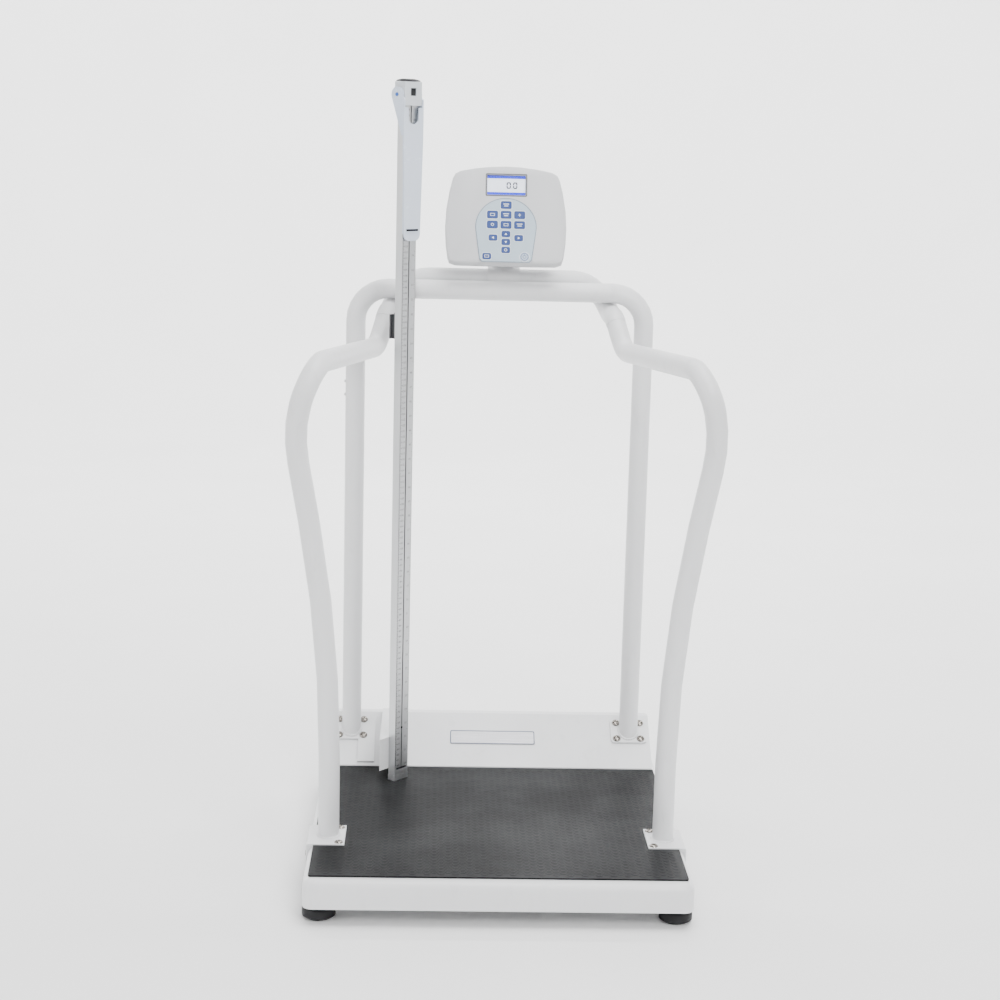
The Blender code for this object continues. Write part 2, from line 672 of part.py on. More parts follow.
def rail_corners():
    """Corners of the right handrail after its rising end: rear bend, front of the grip, bow and foot."""
    grip = GRIP_HEIGHT
    rear = Vector((HOOP_X - GRIP_REAR_INSET, HOOP_Y - GRIP_REAR_AHEAD, grip - GRIP_RISE))
    front = Vector((RAIL_X + GRIP_OUT, RAIL_Y - GRIP_FORWARD, grip))
    bow = Vector((RAIL_X + RAIL_BOW, RAIL_Y - RAIL_LEAN, grip - BOW_SHARE * GRIP_DROP))
    knee = Vector((RAIL_X, RAIL_Y, grip - KNEE_SHARE * GRIP_DROP))
    foot = Vector((RAIL_X, RAIL_Y, SADDLE_TOP + TOUCH_GAP))
    return [rear, front, bow, knee, foot]


def make_handrails():
    _, end, way = elbow_end()
    corners = [end + way * TOUCH_GAP] + rail_corners()
    radii = [GRIP_REAR_BEND, GRIP_FRONT_BEND, BOW_BEND_SHARE * GRIP_DROP, KNEE_BEND_SHARE * GRIP_DROP]
    right = rounded_path(corners, radii)
    for side, sign in SIDES.items():
        points = [Vector((sign * point.x, point.y, point.z)) for point in right]
        pipe(f"handrail_{side}", points, TUBE_RADIUS, WHITE_PAINT, (1, 0, 0))


def make_front_saddles():
    low = DECK_TOP + TOUCH_GAP
    inner = HALF_WIDTH - SADDLE_INNER
    wall = HALF_WIDTH + TOUCH_GAP
    outer = wall + SADDLE_SIDE_WALL
    edge = 0.004
    bend = [(outer, SADDLE_TOP - edge),
            (outer - edge * 0.3, SADDLE_TOP - edge * 0.3),
            (outer - edge, SADDLE_TOP)]
    profile = [(inner, low), (wall, low), (wall, SADDLE_TOP - SADDLE_DROP), (outer, SADDLE_TOP - SADDLE_DROP),
               *bend, (inner, SADDLE_TOP)]
    y_low, y_high = RAIL_Y - SADDLE_LENGTH / 2, RAIL_Y + SADDLE_LENGTH / 2
    for side, sign in SIDES.items():
        outline = [(sign * x, z) for x, z in profile]
        finish(f"front_saddle_{side}", prism(outline, y_low, y_high, "y"), WHITE_PAINT, smooth=False)


# Display head. Its frame sits on the tilt axis: X along the axis, Y into the head, Z up the face.

def face_point(across, up, deep):
    """A point of the head, from the middle of the face's bottom edge."""
    return (across, deep - HEAD_DEPTH - HINGE_BEHIND_BACK, up - HINGE_UP_FACE)


def head_outline(inset):
    """Outline of the head's face: near-straight bottom, bulging sides, arched top."""
    half, height = HEAD_HALF_WIDTH, HEAD_HEIGHT
    right = [(0.0, 0.0), (half * 0.50, 0.0003), (half * 0.84, 0.0008), (half * 0.925, 0.004),
             (half * 0.955, 0.013), (half * 0.985, height * 0.20), (half, height * 0.37),
             (half * 0.985, height * 0.55), (half * 0.935, height * 0.74), (half * 0.885, height * 0.865),
             (half * 0.845, height * 0.915), (half * 0.76, height * 0.945), (half * 0.50, height * 0.975),
             (half * 0.25, height * 0.993)]
    points = right + [(0.0, height)] + [(-x, z) for x, z in reversed(right[1:])]
    middle = Vector((0, height * 0.48))
    shrunk = []
    for x, z in points:
        offset = Vector((x, z)) - middle
        scale_x = 1 - inset / half
        scale_z = 1 - inset / (height / 2)
        shrunk.append((middle.x + offset.x * scale_x, middle.y + offset.y * scale_z))
    return shrunk


def head_rings(levels):
    return [[face_point(x, z, deep) for x, z in head_outline(inset)] for inset, deep in levels]


def key_places():
    """Name, place across and up the face, width and height of each key. The last one is round."""
    rows = []
    column = 0.0241
    rows.append(("key_top", 0.0, 0.1071, KEY_WIDTH, KEY_HEIGHT))
    for row, up in (("upper", 0.0891), ("middle", 0.0707)):
        for place, across in (("left", -column), ("centre", 0.0), ("right", column)):
            rows.append((f"key_{row}_{place}", across, up, KEY_WIDTH, KEY_HEIGHT))
    rows.append(("key_up", 0.0, 0.0538, SMALL_KEY_WIDTH, SMALL_KEY_HEIGHT))
    rows.append(("key_left", -0.0228, 0.0467, SMALL_KEY_WIDTH, SMALL_KEY_HEIGHT))
    rows.append(("key_right", 0.0228, 0.0467, SMALL_KEY_WIDTH, SMALL_KEY_HEIGHT))
    rows.append(("key_down", 0.0, 0.0391, SMALL_KEY_WIDTH, SMALL_KEY_HEIGHT))
    rows.append(("key_lower", 0.0, 0.0245, SMALL_KEY_WIDTH, SMALL_KEY_HEIGHT))
    rows.append(("key_print", -0.0335, 0.0125, SMALL_KEY_WIDTH, SMALL_KEY_HEIGHT))
    rows.append(("key_power", 0.0335, 0.0125, 2 * POWER_KEY_RADIUS, 2 * POWER_KEY_RADIUS))
    return rows


def key_outline(key, margin):
    name, across, up, width, height = key
    if name == "key_power":
        radius = POWER_KEY_RADIUS + margin
        angles = [2 * math.pi * i / 16 for i in range(16)]
        return [(across + radius * math.cos(a), up + radius * math.sin(a)) for a in angles]
    return rounded_rectangle(width + 2 * margin, height + 2 * margin, KEY_CORNER + margin, 2, (across, up))


def face_block(outline, shallow, deep):
    return rings_to_mesh([[face_point(x, z, level) for x, z in outline] for level in (shallow, deep)])


def make_display(frame):
    wall = HEAD_WALL
    front_outer = head_rings([(0.0, HEAD_FRONT_DEPTH), (0.0, 0.006), (0.0018, 0.0018), (0.006, 0.0)])
    front_inner = head_rings([(wall, HEAD_FRONT_DEPTH), (wall, wall + 0.003), (wall + 0.004, wall)])
    front = finish("display_front", shell(front_outer, front_inner), SHELL_PLASTIC, frame)
    start = HEAD_FRONT_DEPTH + TOUCH_GAP
    back_outer = head_rings([(0.0, start), (0.003, start + 0.012), (0.011, HEAD_DEPTH - 0.006),
                             (0.018, HEAD_DEPTH)])
    back_inner = head_rings([(wall, start), (wall + 0.003, start + 0.011), (wall + 0.011, HEAD_DEPTH - 0.0095),
                             (wall + 0.017, HEAD_DEPTH - wall)])
    back = finish("display_back", shell(back_outer, back_inner), SHELL_PLASTIC, frame)
    screen_up = (SCREEN_LOW + SCREEN_HIGH) / 2
    screen_height = SCREEN_HIGH - SCREEN_LOW
    opening = rounded_rectangle(SCREEN_WIDTH, screen_height, 0.0012, 2, (0, screen_up))
    cuts = [helper("screen_cut", face_block(opening, -0.01, wall + 0.004), frame)]
    for key in key_places():
        well = face_block(key_outline(key, KEY_CLEARANCE), -0.01, wall + 0.004)
        cuts.append(helper(f"{key[0]}_cut", well, frame))
    combine(front, cuts, "DIFFERENCE")
    make_screen(frame, screen_up, screen_height)
    make_keypad(frame, cuts[1:])
    board = face_block(rounded_rectangle(2 * BOARD_HALF_WIDTH, BOARD_HIGH - BOARD_LOW, 0.002, 2,
                                         (0, (BOARD_HIGH + BOARD_LOW) / 2)),
                       BOARD_DEPTH, BOARD_DEPTH + BOARD_THICKNESS)
    finish("main_board", board, CIRCUIT_GREEN, frame, smooth=False)
    make_battery_door(frame, back)
    make_tilt_hinge(frame, back)


def make_screen(frame, screen_up, screen_height):
    margin = TOUCH_GAP
    outline = rounded_rectangle(SCREEN_WIDTH - 2 * margin, screen_height - 2 * margin, 0.0009, 2, (0, screen_up))
    window = face_block(outline, WINDOW_SEAT, WINDOW_SEAT + WINDOW_THICKNESS)
    finish("lcd_window", window, GLASS, frame, smooth=False)
    seat = HEAD_WALL + TOUCH_GAP
    module = face_block(rounded_rectangle(LCD_WIDTH, LCD_HEIGHT, 0.001, 2, (0, screen_up - 0.004)),
                        seat, seat + LCD_THICKNESS)
    finish("lcd_module", module, SCREEN_BLUE, frame, smooth=False)


def make_keypad(frame, cuts):
    """The printed film on the face, and the keys that come through it."""
    outline = []
    for i in range(25):
        angle = math.pi * i / 24
        outline.append((KEYPAD_RADIUS * math.cos(angle), KEYPAD_CENTRE + KEYPAD_RADIUS * math.sin(angle)))
    corner = 0.005
    bottom = [(-KEYPAD_BOTTOM_HALF, KEYPAD_BOTTOM + corner), (-KEYPAD_BOTTOM_HALF + corner, KEYPAD_BOTTOM)]
    outline += bottom + [(-x, z) for x, z in reversed(bottom)]
    lifted = -TOUCH_GAP - KEYPAD_THICKNESS
    sheet = face_block(outline, lifted, -TOUCH_GAP)
    film = finish("keypad_overlay", sheet, OVERLAY_FILM, frame, smooth=False)
    combine(film, cuts, "DIFFERENCE")
    for key in key_places():
        name, across, up, _, _ = key
        place = face_point(across, up, 0)
        axis = make_frame(f"{name}_axis", place)
        axis.parent = frame
        outline = [(x - across, z - up) for x, z in key_outline(key, 0.0)]
        top = lifted - KEY_PROUD
        rings = [[(x, deep, z) for x, z in outline] for deep in (top, top + KEY_DEPTH)]
        finish(name, rings_to_mesh(rings), KEY_BLUE, axis, smooth=False)


def make_battery_door(frame, back):
    outline = rounded_rectangle(BATTERY_DOOR_WIDTH, BATTERY_DOOR_HEIGHT, 0.003, 2, (0, BATTERY_DOOR_CENTRE))
    opening = rounded_rectangle(BATTERY_DOOR_WIDTH + 2 * TOUCH_GAP, BATTERY_DOOR_HEIGHT + 2 * TOUCH_GAP,
                                0.003 + TOUCH_GAP, 2, (0, BATTERY_DOOR_CENTRE))
    cut = helper("battery_door_cut", face_block(opening, HEAD_DEPTH - 0.008, HEAD_DEPTH + 0.01), frame)
    combine(back, [cut], "DIFFERENCE")
    door = face_block(outline, HEAD_DEPTH - BATTERY_DOOR_THICKNESS, HEAD_DEPTH)
    finish("battery_door", door, SHELL_PLASTIC, frame, smooth=False)


def make_tilt_hinge(frame, back):
    """Two ears on the head's back and the bolt through them, on the frame's X axis."""
    inner = HINGE_BARREL_WIDTH / 2 + TOUCH_GAP
    outer = inner + EAR_THICKNESS
    ears, holes = [], []
    for side, sign in SIDES.items():
        outline = [(-HINGE_BEHIND_BACK - 0.0015, -0.011), (-HINGE_BEHIND_BACK - 0.0015, 0.011)]
        for i in range(9):
            angle = math.radians(90 - 180 * i / 8)
            outline.append((HINGE_BARREL_RADIUS * math.cos(angle), HINGE_BARREL_RADIUS * math.sin(angle)))
        low, high = sorted((sign * inner, sign * outer))
        ears.append(helper(f"ear_{side}", prism(outline, low, high, "x"), frame))
    hole = rod_along((-outer - 0.01, 0, 0), (outer + 0.01, 0, 0), HINGE_BOLT_RADIUS + TOUCH_GAP, 16)
    holes.append(helper("ear_bolt_hole", hole, frame))
    combine(back, ears, "UNION")
    combine(back, holes, "DIFFERENCE")
    reach = outer + TOUCH_GAP
    profile = [(BOLT_HEAD_RADIUS, -reach - BOLT_HEAD_HEIGHT), (BOLT_HEAD_RADIUS, -reach), (HINGE_BOLT_RADIUS, -reach),
               (HINGE_BOLT_RADIUS, reach), (BOLT_HEAD_RADIUS, reach), (BOLT_HEAD_RADIUS, reach + BOLT_HEAD_HEIGHT)]
    bolt = lathe(profile, 16)
    bmesh.ops.rotate(bolt, verts=bolt.verts, matrix=Matrix.Rotation(math.radians(90), 3, "Y"))
    finish("display_hinge_bolt", bolt, STEEL, frame)


def arc_outline(inner, outer, first, last, steps=16, centre=(0, 0)):
    """A C-shaped outline between two radii and two angles in degrees."""
    angles = [math.radians(first + (last - first) * i / steps) for i in range(steps + 1)]
    near = [(centre[0] + outer * math.cos(a), centre[1] + outer * math.sin(a)) for a in angles]
    far = [(centre[0] + inner * math.cos(a), centre[1] + inner * math.sin(a)) for a in reversed(angles)]
    return near + far


def clamp_last_angle(outer):
    """Where the clamp's front end stops short of the hoop's tube, in degrees round the upper crossbar."""
    near = TUBE_RADIUS + 2 * TOUCH_GAP
    share = (outer ** 2 + BAR_DISTANCE ** 2 - near ** 2) / (2 * outer * BAR_DISTANCE)
    return 180 + BAR_ANGLE - math.degrees(math.acos(share))


def make_display_bracket():
    """A saddle over the upper crossbar with a neck that carries the tilt hinge's barrel."""
    half = SADDLE_CLAMP_WIDTH / 2
    inner = BAR_RADIUS + TOUCH_GAP
    outer = inner + SADDLE_CLAMP_WALL
    clamp = arc_outline(inner, outer, CLAMP_FIRST_ANGLE, clamp_last_angle(outer), 20, (BAR_Y, BAR_Z))
    bracket = finish("display_bracket", prism(clamp, DISPLAY_X - half, DISPLAY_X + half, "x"), WHITE_PAINT)
    barrel_half = HINGE_BARREL_WIDTH / 2
    low = BAR_Z + inner + SADDLE_CLAMP_WALL * 0.4
    thick = NECK_THICKNESS / 2
    neck = [(BAR_Y - thick, low), (BAR_Y + thick, low), (BAR_Y + thick, HINGE_Z), (BAR_Y - thick, HINGE_Z)]
    neck_body = helper("bracket_neck", prism(neck, DISPLAY_X - barrel_half, DISPLAY_X + barrel_half, "x"))
    start, end = (DISPLAY_X - barrel_half, BAR_Y, HINGE_Z), (DISPLAY_X + barrel_half, BAR_Y, HINGE_Z)
    barrel = helper("bracket_barrel", rod_along(start, end, HINGE_BARREL_RADIUS, 20))
    combine(bracket, [neck_body, barrel], "UNION")
    start, end = (DISPLAY_X - 0.05, BAR_Y, HINGE_Z), (DISPLAY_X + 0.05, BAR_Y, HINGE_Z)
    hole = helper("bracket_bolt_hole", rod_along(start, end, HINGE_BOLT_RADIUS + TOUCH_GAP, 16))
    combine(bracket, [hole], "DIFFERENCE")


# Height rod. Its frame stands on the floor under the ruler face, which looks along the frame's -Y.

def rectangle(left, right, low, high):
    return [(left, low), (right, low), (right, high), (left, high)]


def make_masts(frame):
    half, wall = ROD_WIDTH / 2, ROD_WALL
    slot = ROD_SLOT / 2
    outline = [(slot, 0), (half, 0), (half, ROD_DEPTH), (-half, ROD_DEPTH), (-half, 0), (-slot, 0),
               (-slot, wall), (-half + wall, wall), (-half + wall, ROD_DEPTH - wall),
               (half - wall, ROD_DEPTH - wall), (half - wall, wall), (slot, wall)]
    low = ROD_FOOT + END_CAP_HEIGHT + TOUCH_GAP
    finish("rod_outer", prism(outline, low, ROD_TOP), ALUMINIUM, frame, smooth=False)
    side = half - wall - TOUCH_GAP
    near, far = wall + TOUCH_GAP, ROD_DEPTH - wall - TOUCH_GAP
    thin = 0.0015
    inner = [(slot, near), (side, near), (side, far), (-side, far), (-side, near), (-slot, near),
             (-slot, near + thin), (-side + thin, near + thin), (-side + thin, far - thin),
             (side - thin, far - thin), (side - thin, near + thin), (slot, near + thin)]
    mast = prism(inner, ROD_INNER_BOTTOM, ROD_TOP + ROD_INNER_RISE)
    finish("rod_inner", mast, ALUMINIUM, frame, smooth=False)
    margin = END_CAP_MARGIN
    foot = round_corners(rectangle(-half - margin, half + margin, -margin, ROD_DEPTH + margin), 0.0015, 2)
    cap = prism(foot, ROD_FOOT, ROD_FOOT + END_CAP_HEIGHT)
    finish("rod_end_cap", cap, ALUMINIUM, frame, smooth=False)
    make_top_cap(frame)


def make_top_cap(frame):
    """The black dome on the inner mast, a stop for the measuring head."""
    margin = TOP_CAP_MARGIN
    low = ROD_TOP + ROD_INNER_RISE + TOUCH_GAP
    rings = []
    levels = ((0.0, 0.0), (0.0, 0.0012), (0.002, 0.0026), (0.007, TOP_CAP_HEIGHT))
    for shrink, height in levels:
        width = ROD_WIDTH + 2 * (margin - shrink)
        depth = ROD_DEPTH + 2 * (margin - shrink)
        outline = rounded_rectangle(width, depth, 0.0025, 2, (0, ROD_DEPTH / 2))
        rings.append([(x, y, low + height) for x, y in outline])
    finish("rod_top_cap", rings_to_mesh(rings), BLACK_PLASTIC, frame)


def make_measuring_head(frame):
    """C-shaped slider, reading lens, pivot pins and the folding paddle. It can pass the rod's brackets."""
    half = ROD_WIDTH / 2 + TOUCH_GAP
    near, far = -TOUCH_GAP, ROD_DEPTH + TOUCH_GAP
    wall, gap = SLIDER_WALL, SLIDER_BACK_GAP / 2
    outline = [(-half - wall, near - wall - 0.001), (half + wall, near - wall - 0.001), (half + wall, far + wall),
               (gap, far + wall), (gap, far), (half, far), (half, near), (-half, near), (-half, far),
               (-gap, far), (-gap, far + wall), (-half - wall, far + wall)]
    low = SLIDER_TOP - SLIDER_HEIGHT
    slider = finish("head_slider", prism(outline, low, SLIDER_TOP), PALE_PLASTIC, frame, smooth=False)
    lens_top = SLIDER_TOP - LENS_DROP
    lens_low = lens_top - LENS_HEIGHT
    front = near - wall - 0.001
    cut = prism(rectangle(-LENS_WIDTH / 2, LENS_WIDTH / 2, front - 0.002, near + 0.001), lens_low, lens_top)
    combine(slider, [helper("lens_cut", cut, frame)], "DIFFERENCE")
    gap = TOUCH_GAP
    box("head_lens", (-LENS_WIDTH / 2 + gap, front + 0.001, lens_low + gap),
        (LENS_WIDTH / 2 - gap, front + 0.001 + LENS_THICKNESS, lens_top - gap), BLACK_PLASTIC, frame)
    cheek_inner = half + wall + CHEEK_CLEARANCE
    pin_in = half + wall + TOUCH_GAP
    pin_out = cheek_inner + CHEEK_THICKNESS + 0.0012
    pivot = make_frame("paddle_axis", (0, PIVOT_BEHIND, PIVOT_Z))
    pivot.parent = frame
    for side, sign in SIDES.items():
        pin = rod_along((sign * pin_in, 0, 0), (sign * pin_out, 0, 0), PIVOT_RADIUS, 16)
        finish(f"pivot_pin_{side}", pin, PIN_BLUE, pivot)
    make_paddle(pivot, cheek_inner)


def make_paddle(pivot, cheek_inner):
    """Folded down. In the pivot's frame -Y is the way the ruler looks and Z is up."""
    outer_half = cheek_inner + CHEEK_THICKNESS
    inner_face = -PIVOT_BEHIND - PADDLE_CLEAR
    front_face = inner_face - PADDLE_PLATE
    end = -PADDLE_LENGTH
    plate = [(-PADDLE_NOTCH_HALF, -PADDLE_ARM_TOP), (-outer_half, -PADDLE_ARM_TOP), (-outer_half, -0.075)]
    radius = 0.012
    for i in range(7):
        angle = math.radians(180 + 90 * i / 6)
        plate.append((-PADDLE_END_HALF + radius + radius * math.cos(angle), end + radius + radius * math.sin(angle)))
    plate += [(-x, z) for x, z in reversed(plate)]
    notch = []
    depth = PADDLE_NOTCH_BOTTOM - PADDLE_ARM_TOP
    for i in range(1, 8):
        angle = math.pi * i / 8
        notch.append((PADDLE_NOTCH_HALF * math.cos(angle),
                      -PADDLE_ARM_TOP - depth + PADDLE_NOTCH_HALF * (1 - math.sin(angle)) * 0.8))
    plate += notch
    body = finish("paddle", prism(plate, front_face, inner_face, "y"), PALE_PLASTIC, pivot, smooth=False)
    cheeks, holes = [], []
    for side, sign in SIDES.items():
        outline = []
        for i in range(13):
            angle = math.radians(-15 + 210 * i / 12)
            outline.append((LOBE_RADIUS * math.cos(angle), LOBE_RADIUS * math.sin(angle)))
        outline += [(front_face, -0.008), (front_face, -0.068), (inner_face + 0.003, -0.068)]
        low, high = sorted((sign * cheek_inner, sign * outer_half))
        cheeks.append(helper(f"cheek_{side}", prism(outline, low, high, "x"), pivot))
        rib_low, rib_high = sorted((sign * (PADDLE_END_HALF - 0.0028), sign * PADDLE_END_HALF))
        rib = rectangle(rib_low, rib_high, front_face + 0.0005, inner_face + 0.0022)
        cheeks.append(helper(f"rib_{side}", prism(rib, end + radius, -0.060), pivot))
        start = (sign * (cheek_inner - 0.004), 0, 0)
        holes.append(helper(f"cheek_hole_{side}", rod_along(start, (sign * (outer_half + 0.004), 0, 0),
                                                           PIVOT_RADIUS + TOUCH_GAP, 16), pivot))
    combine(body, cheeks, "UNION")
    combine(body, holes, "DIFFERENCE")


def rod_to_world(across, behind):
    """Plan position of a point of the rod's frame."""
    turn = math.radians(ROD_TURN)
    x = ROD_X + across * math.cos(turn) - behind * math.sin(turn)
    y = ROD_Y + across * math.sin(turn) + behind * math.cos(turn)
    return (x, y)


def make_base_bracket():
    """Folded box that carries the rod's foot: a face along the rod's back, and walls back over the cover."""
    behind = ROD_DEPTH + TOUCH_GAP
    left = rod_to_world(-BASE_BRACKET_LEFT, behind)
    right = rod_to_world(ROD_WIDTH / 2, behind)
    back = BACK_Y - BASE_BRACKET_BACK
    wall = BASE_BRACKET_WALL
    plan = [left, right, (right[0], back), (left[0], back)]
    plate = prism(plan, BASE_BRACKET_LOW, BASE_BRACKET_HIGH)
    bracket = finish("rod_base_bracket", plate, WHITE_PAINT, smooth=False)
    # The inside, with each wall moved in by its thickness
    turn = math.radians(ROD_TURN)
    slope = math.tan(turn)
    shift = wall / math.cos(turn)
    inner_left = (left[0] + wall, left[1] + wall * slope + shift)
    inner_right = (right[0] - wall, right[1] - wall * slope + shift)
    inside = [inner_left, inner_right, (right[0] - wall, back + 0.01), (left[0] + wall, back + 0.01)]
    hollow = helper("bracket_hollow", prism(inside, BASE_BRACKET_LOW - 0.01, BASE_BRACKET_HIGH - wall))
    clear = TOUCH_GAP / math.cos(SLOPE_ANGLE)
    tangent = math.tan(SLOPE_ANGLE)
    low_y, high_y = COVER_FRONT_Y - 0.05, BACK_Y + 0.05
    wedge = [(low_y, COVER_LIP_Z - 0.05 * tangent + clear), (low_y, COVER_BASE_Z - 0.06),
             (high_y, COVER_BASE_Z - 0.06), (high_y, COVER_LIP_Z + (high_y - COVER_FRONT_Y) * tangent + clear)]
    slope_cut = helper("bracket_slope_cut", prism(wedge, left[0] - 0.02, right[0] + 0.02, "x"))
    combine(bracket, [hollow, slope_cut], "DIFFERENCE")


def make_upper_bracket(frame):
    """Dark steel arm from the hoop's crossbar to the rod's back, narrow enough for the head to pass."""
    top = HOOP_HEIGHT - UPPER_BRACKET_TOP
    low = top - UPPER_BRACKET_LENGTH
    near = ROD_DEPTH + TOUCH_GAP
    plate_near = near + UPPER_NECK_LENGTH
    half = UPPER_NECK_WIDTH / 2
    neck = prism(rectangle(-half, half, near, plate_near + 0.001), low, top)
    bracket = finish("rod_upper_bracket", neck, DARK_STEEL, smooth=False)
    bracket.parent = frame
    plate_half = UPPER_PLATE_WIDTH / 2
    far = plate_near + UPPER_PLATE_THICKNESS
    plate = helper("upper_plate", prism(rectangle(-plate_half, plate_half, plate_near, far), low, top), frame)
    start_x, start_y = rod_to_world(0, plate_near + UPPER_PLATE_THICKNESS / 2)
    inner = TUBE_RADIUS + TOUCH_GAP
    outer = inner + UPPER_RING_WALL
    # The ring sits nearer the middle than the rod, clear of the crossbar's elbow
    ring_x = -(HALF_WIDTH - UPPER_RING_FROM_SIDE)
    ends = ((start_x, start_y, top - 0.006), (ring_x, HOOP_Y - 0.006, HOOP_HEIGHT - inner - UPPER_RING_WALL * 0.5))
    arm_half = UPPER_ARM_WIDTH / 2
    rings = []
    for x, y, high in ends:
        rings.append([(x - arm_half, y, high - UPPER_ARM_HEIGHT), (x + arm_half, y, high - UPPER_ARM_HEIGHT),
                      (x + arm_half, y, high), (x - arm_half, y, high)])
    arm = helper("upper_arm", rings_to_mesh(rings))
    ring_half = UPPER_RING_WIDTH / 2
    ring = arc_outline(inner, outer, 100, 270, 20, (HOOP_Y, HOOP_HEIGHT))
    ring_body = helper("upper_ring", prism(ring, ring_x - ring_half, ring_x + ring_half, "x"))
    combine(bracket, [plate, arm, ring_body], "UNION")


def main():
    clear_scene()
    make_deck()
    make_mat()
    make_rear_cover()
    make_nameplate()
    make_supports()
    make_rear_hoop()
    make_rear_flanges()
    make_upper_crossbar()
    make_handrails()
    make_front_saddles()
    make_display_bracket()
    tilt = (math.radians(-DISPLAY_TILT), 0, 0)
    make_display(make_frame("display_axis", (DISPLAY_X, BAR_Y, HINGE_Z), tilt))
    rod_frame = make_frame("rod_axis", (ROD_X, ROD_Y, 0), (0, 0, math.radians(ROD_TURN)))
    make_masts(rod_frame)
    make_measuring_head(rod_frame)
    make_base_bracket()
    make_upper_bracket(rod_frame)


main()
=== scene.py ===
import json
import math

import bmesh
import bpy
from mathutils import Matrix, Vector


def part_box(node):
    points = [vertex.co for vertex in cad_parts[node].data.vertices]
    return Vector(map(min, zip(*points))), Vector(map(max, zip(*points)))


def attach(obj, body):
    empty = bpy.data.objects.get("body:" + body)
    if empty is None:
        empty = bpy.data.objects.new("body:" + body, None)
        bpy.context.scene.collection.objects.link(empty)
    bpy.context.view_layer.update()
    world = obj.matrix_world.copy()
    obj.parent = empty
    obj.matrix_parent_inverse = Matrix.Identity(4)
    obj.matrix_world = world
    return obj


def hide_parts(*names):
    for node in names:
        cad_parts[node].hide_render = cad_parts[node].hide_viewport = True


# Looks of the handrail scale: finishes, screws, ruler marks, key signs and the studio.
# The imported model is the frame, and every piece made here rides on one of its bodies.
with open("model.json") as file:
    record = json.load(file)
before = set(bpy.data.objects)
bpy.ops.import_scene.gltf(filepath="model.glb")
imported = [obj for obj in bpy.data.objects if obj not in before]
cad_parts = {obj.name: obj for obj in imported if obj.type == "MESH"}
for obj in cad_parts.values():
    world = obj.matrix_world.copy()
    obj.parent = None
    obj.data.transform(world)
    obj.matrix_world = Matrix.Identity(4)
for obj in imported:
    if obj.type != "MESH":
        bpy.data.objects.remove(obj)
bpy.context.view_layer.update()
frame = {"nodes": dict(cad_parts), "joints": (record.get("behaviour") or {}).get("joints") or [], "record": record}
nodes = frame["nodes"]
bodyOf = {}
for bodyName, members in frame["record"]["behaviour"]["bodies"].items():
    for member in members:
        bodyOf[member] = bodyName
print("frame loaded:", len(nodes), "nodes")


class Wire:
    # A shader socket that takes part in Python expressions
    def __init__(self, tree, socket):
        self.tree = tree
        self.socket = socket

    def node(self, kind, settings=None, output=0, **inputs):
        made = self.tree.nodes.new(kind)
        for key, value in (settings or {}).items():
            setattr(made, key, value)
        for key, value in inputs.items():
            numbered = key[0] == "i" and key[1:].isdigit()  # i0 is the first socket, others go by name
            slot = made.inputs[int(key[1:]) if numbered else key.replace("_", " ")]
            if isinstance(value, Wire):
                self.tree.links.new(value.socket, slot)
            else:
                slot.default_value = value
        return Wire(self.tree, made.outputs[output])

    def maths(self, operation, other=None):
        inputs = {"i0": self}
        if other is not None:
            inputs["i1"] = other
        return self.node("ShaderNodeMath", {"operation": operation}, **inputs)

    def __add__(self, other):
        return self.maths("ADD", other)

    __radd__ = __add__

    def __sub__(self, other):
        return self.maths("SUBTRACT", other)

    def __rsub__(self, other):
        return self.node("ShaderNodeMath", {"operation": "SUBTRACT"}, i0=other, i1=self)

    def __mul__(self, other):
        return self.maths("MULTIPLY", other)

    __rmul__ = __mul__

    def blendColours(self, first, second):
        # self picks between two colours, each a tuple or a wire
        made = self.tree.nodes.new("ShaderNodeMix")
        made.data_type = "RGBA"
        self.tree.links.new(self.socket, made.inputs["Factor"])
        for value, slot in ((first, made.inputs[6]), (second, made.inputs[7])):
            if isinstance(value, Wire):
                self.tree.links.new(value.socket, slot)
            else:
                slot.default_value = (*value, 1)
        return Wire(self.tree, made.outputs[2])

    def scaled(self, factors):
        return self.node("ShaderNodeMapping", None, Vector=self, Scale=factors)

    def part(self, axis):
        return self.node("ShaderNodeSeparateXYZ", None, axis, Vector=self)

    def noise(self, scale, detail=3.0, roughness=0.5):
        return self.node("ShaderNodeTexNoise", None, 0, Vector=self, Scale=scale, Detail=detail,
                         Roughness=roughness)

    def spread(self, low, high, outLow=0.0, outHigh=1.0):
        # stretches the values from low to high over outLow to outHigh, held at both ends
        made = self.tree.nodes.new("ShaderNodeMapRange")
        self.tree.links.new(self.socket, made.inputs[0])
        for slot, value in zip(made.inputs[1:5], (low, high, outLow, outHigh)):
            slot.default_value = value
        return Wire(self.tree, made.outputs[0])


def startFinish(name, fixed):
    # fixed holds the shader values that are the same all over
    material = bpy.data.materials.new(name)
    material.use_nodes = True
    tree = material.node_tree
    shader = tree.nodes["Principled BSDF"]
    for key, value in fixed.items():
        shader.inputs[key].default_value = (*value, 1) if isinstance(value, tuple) else value
    place = tree.nodes.new("ShaderNodeTexCoord")
    return material, shader, Wire(tree, place.outputs["Object"])


def darker(colour, share):
    return tuple(c * share for c in colour)


def plug(shader, **wires):
    for key, wire in wires.items():
        wire.tree.links.new(wire.socket, shader.inputs[key.replace("_", " ")])


def bumped(shader, height, strength, distance):
    bump = height.node("ShaderNodeBump", None, 0, Strength=strength, Distance=distance, Height=height)
    plug(shader, Normal=bump)


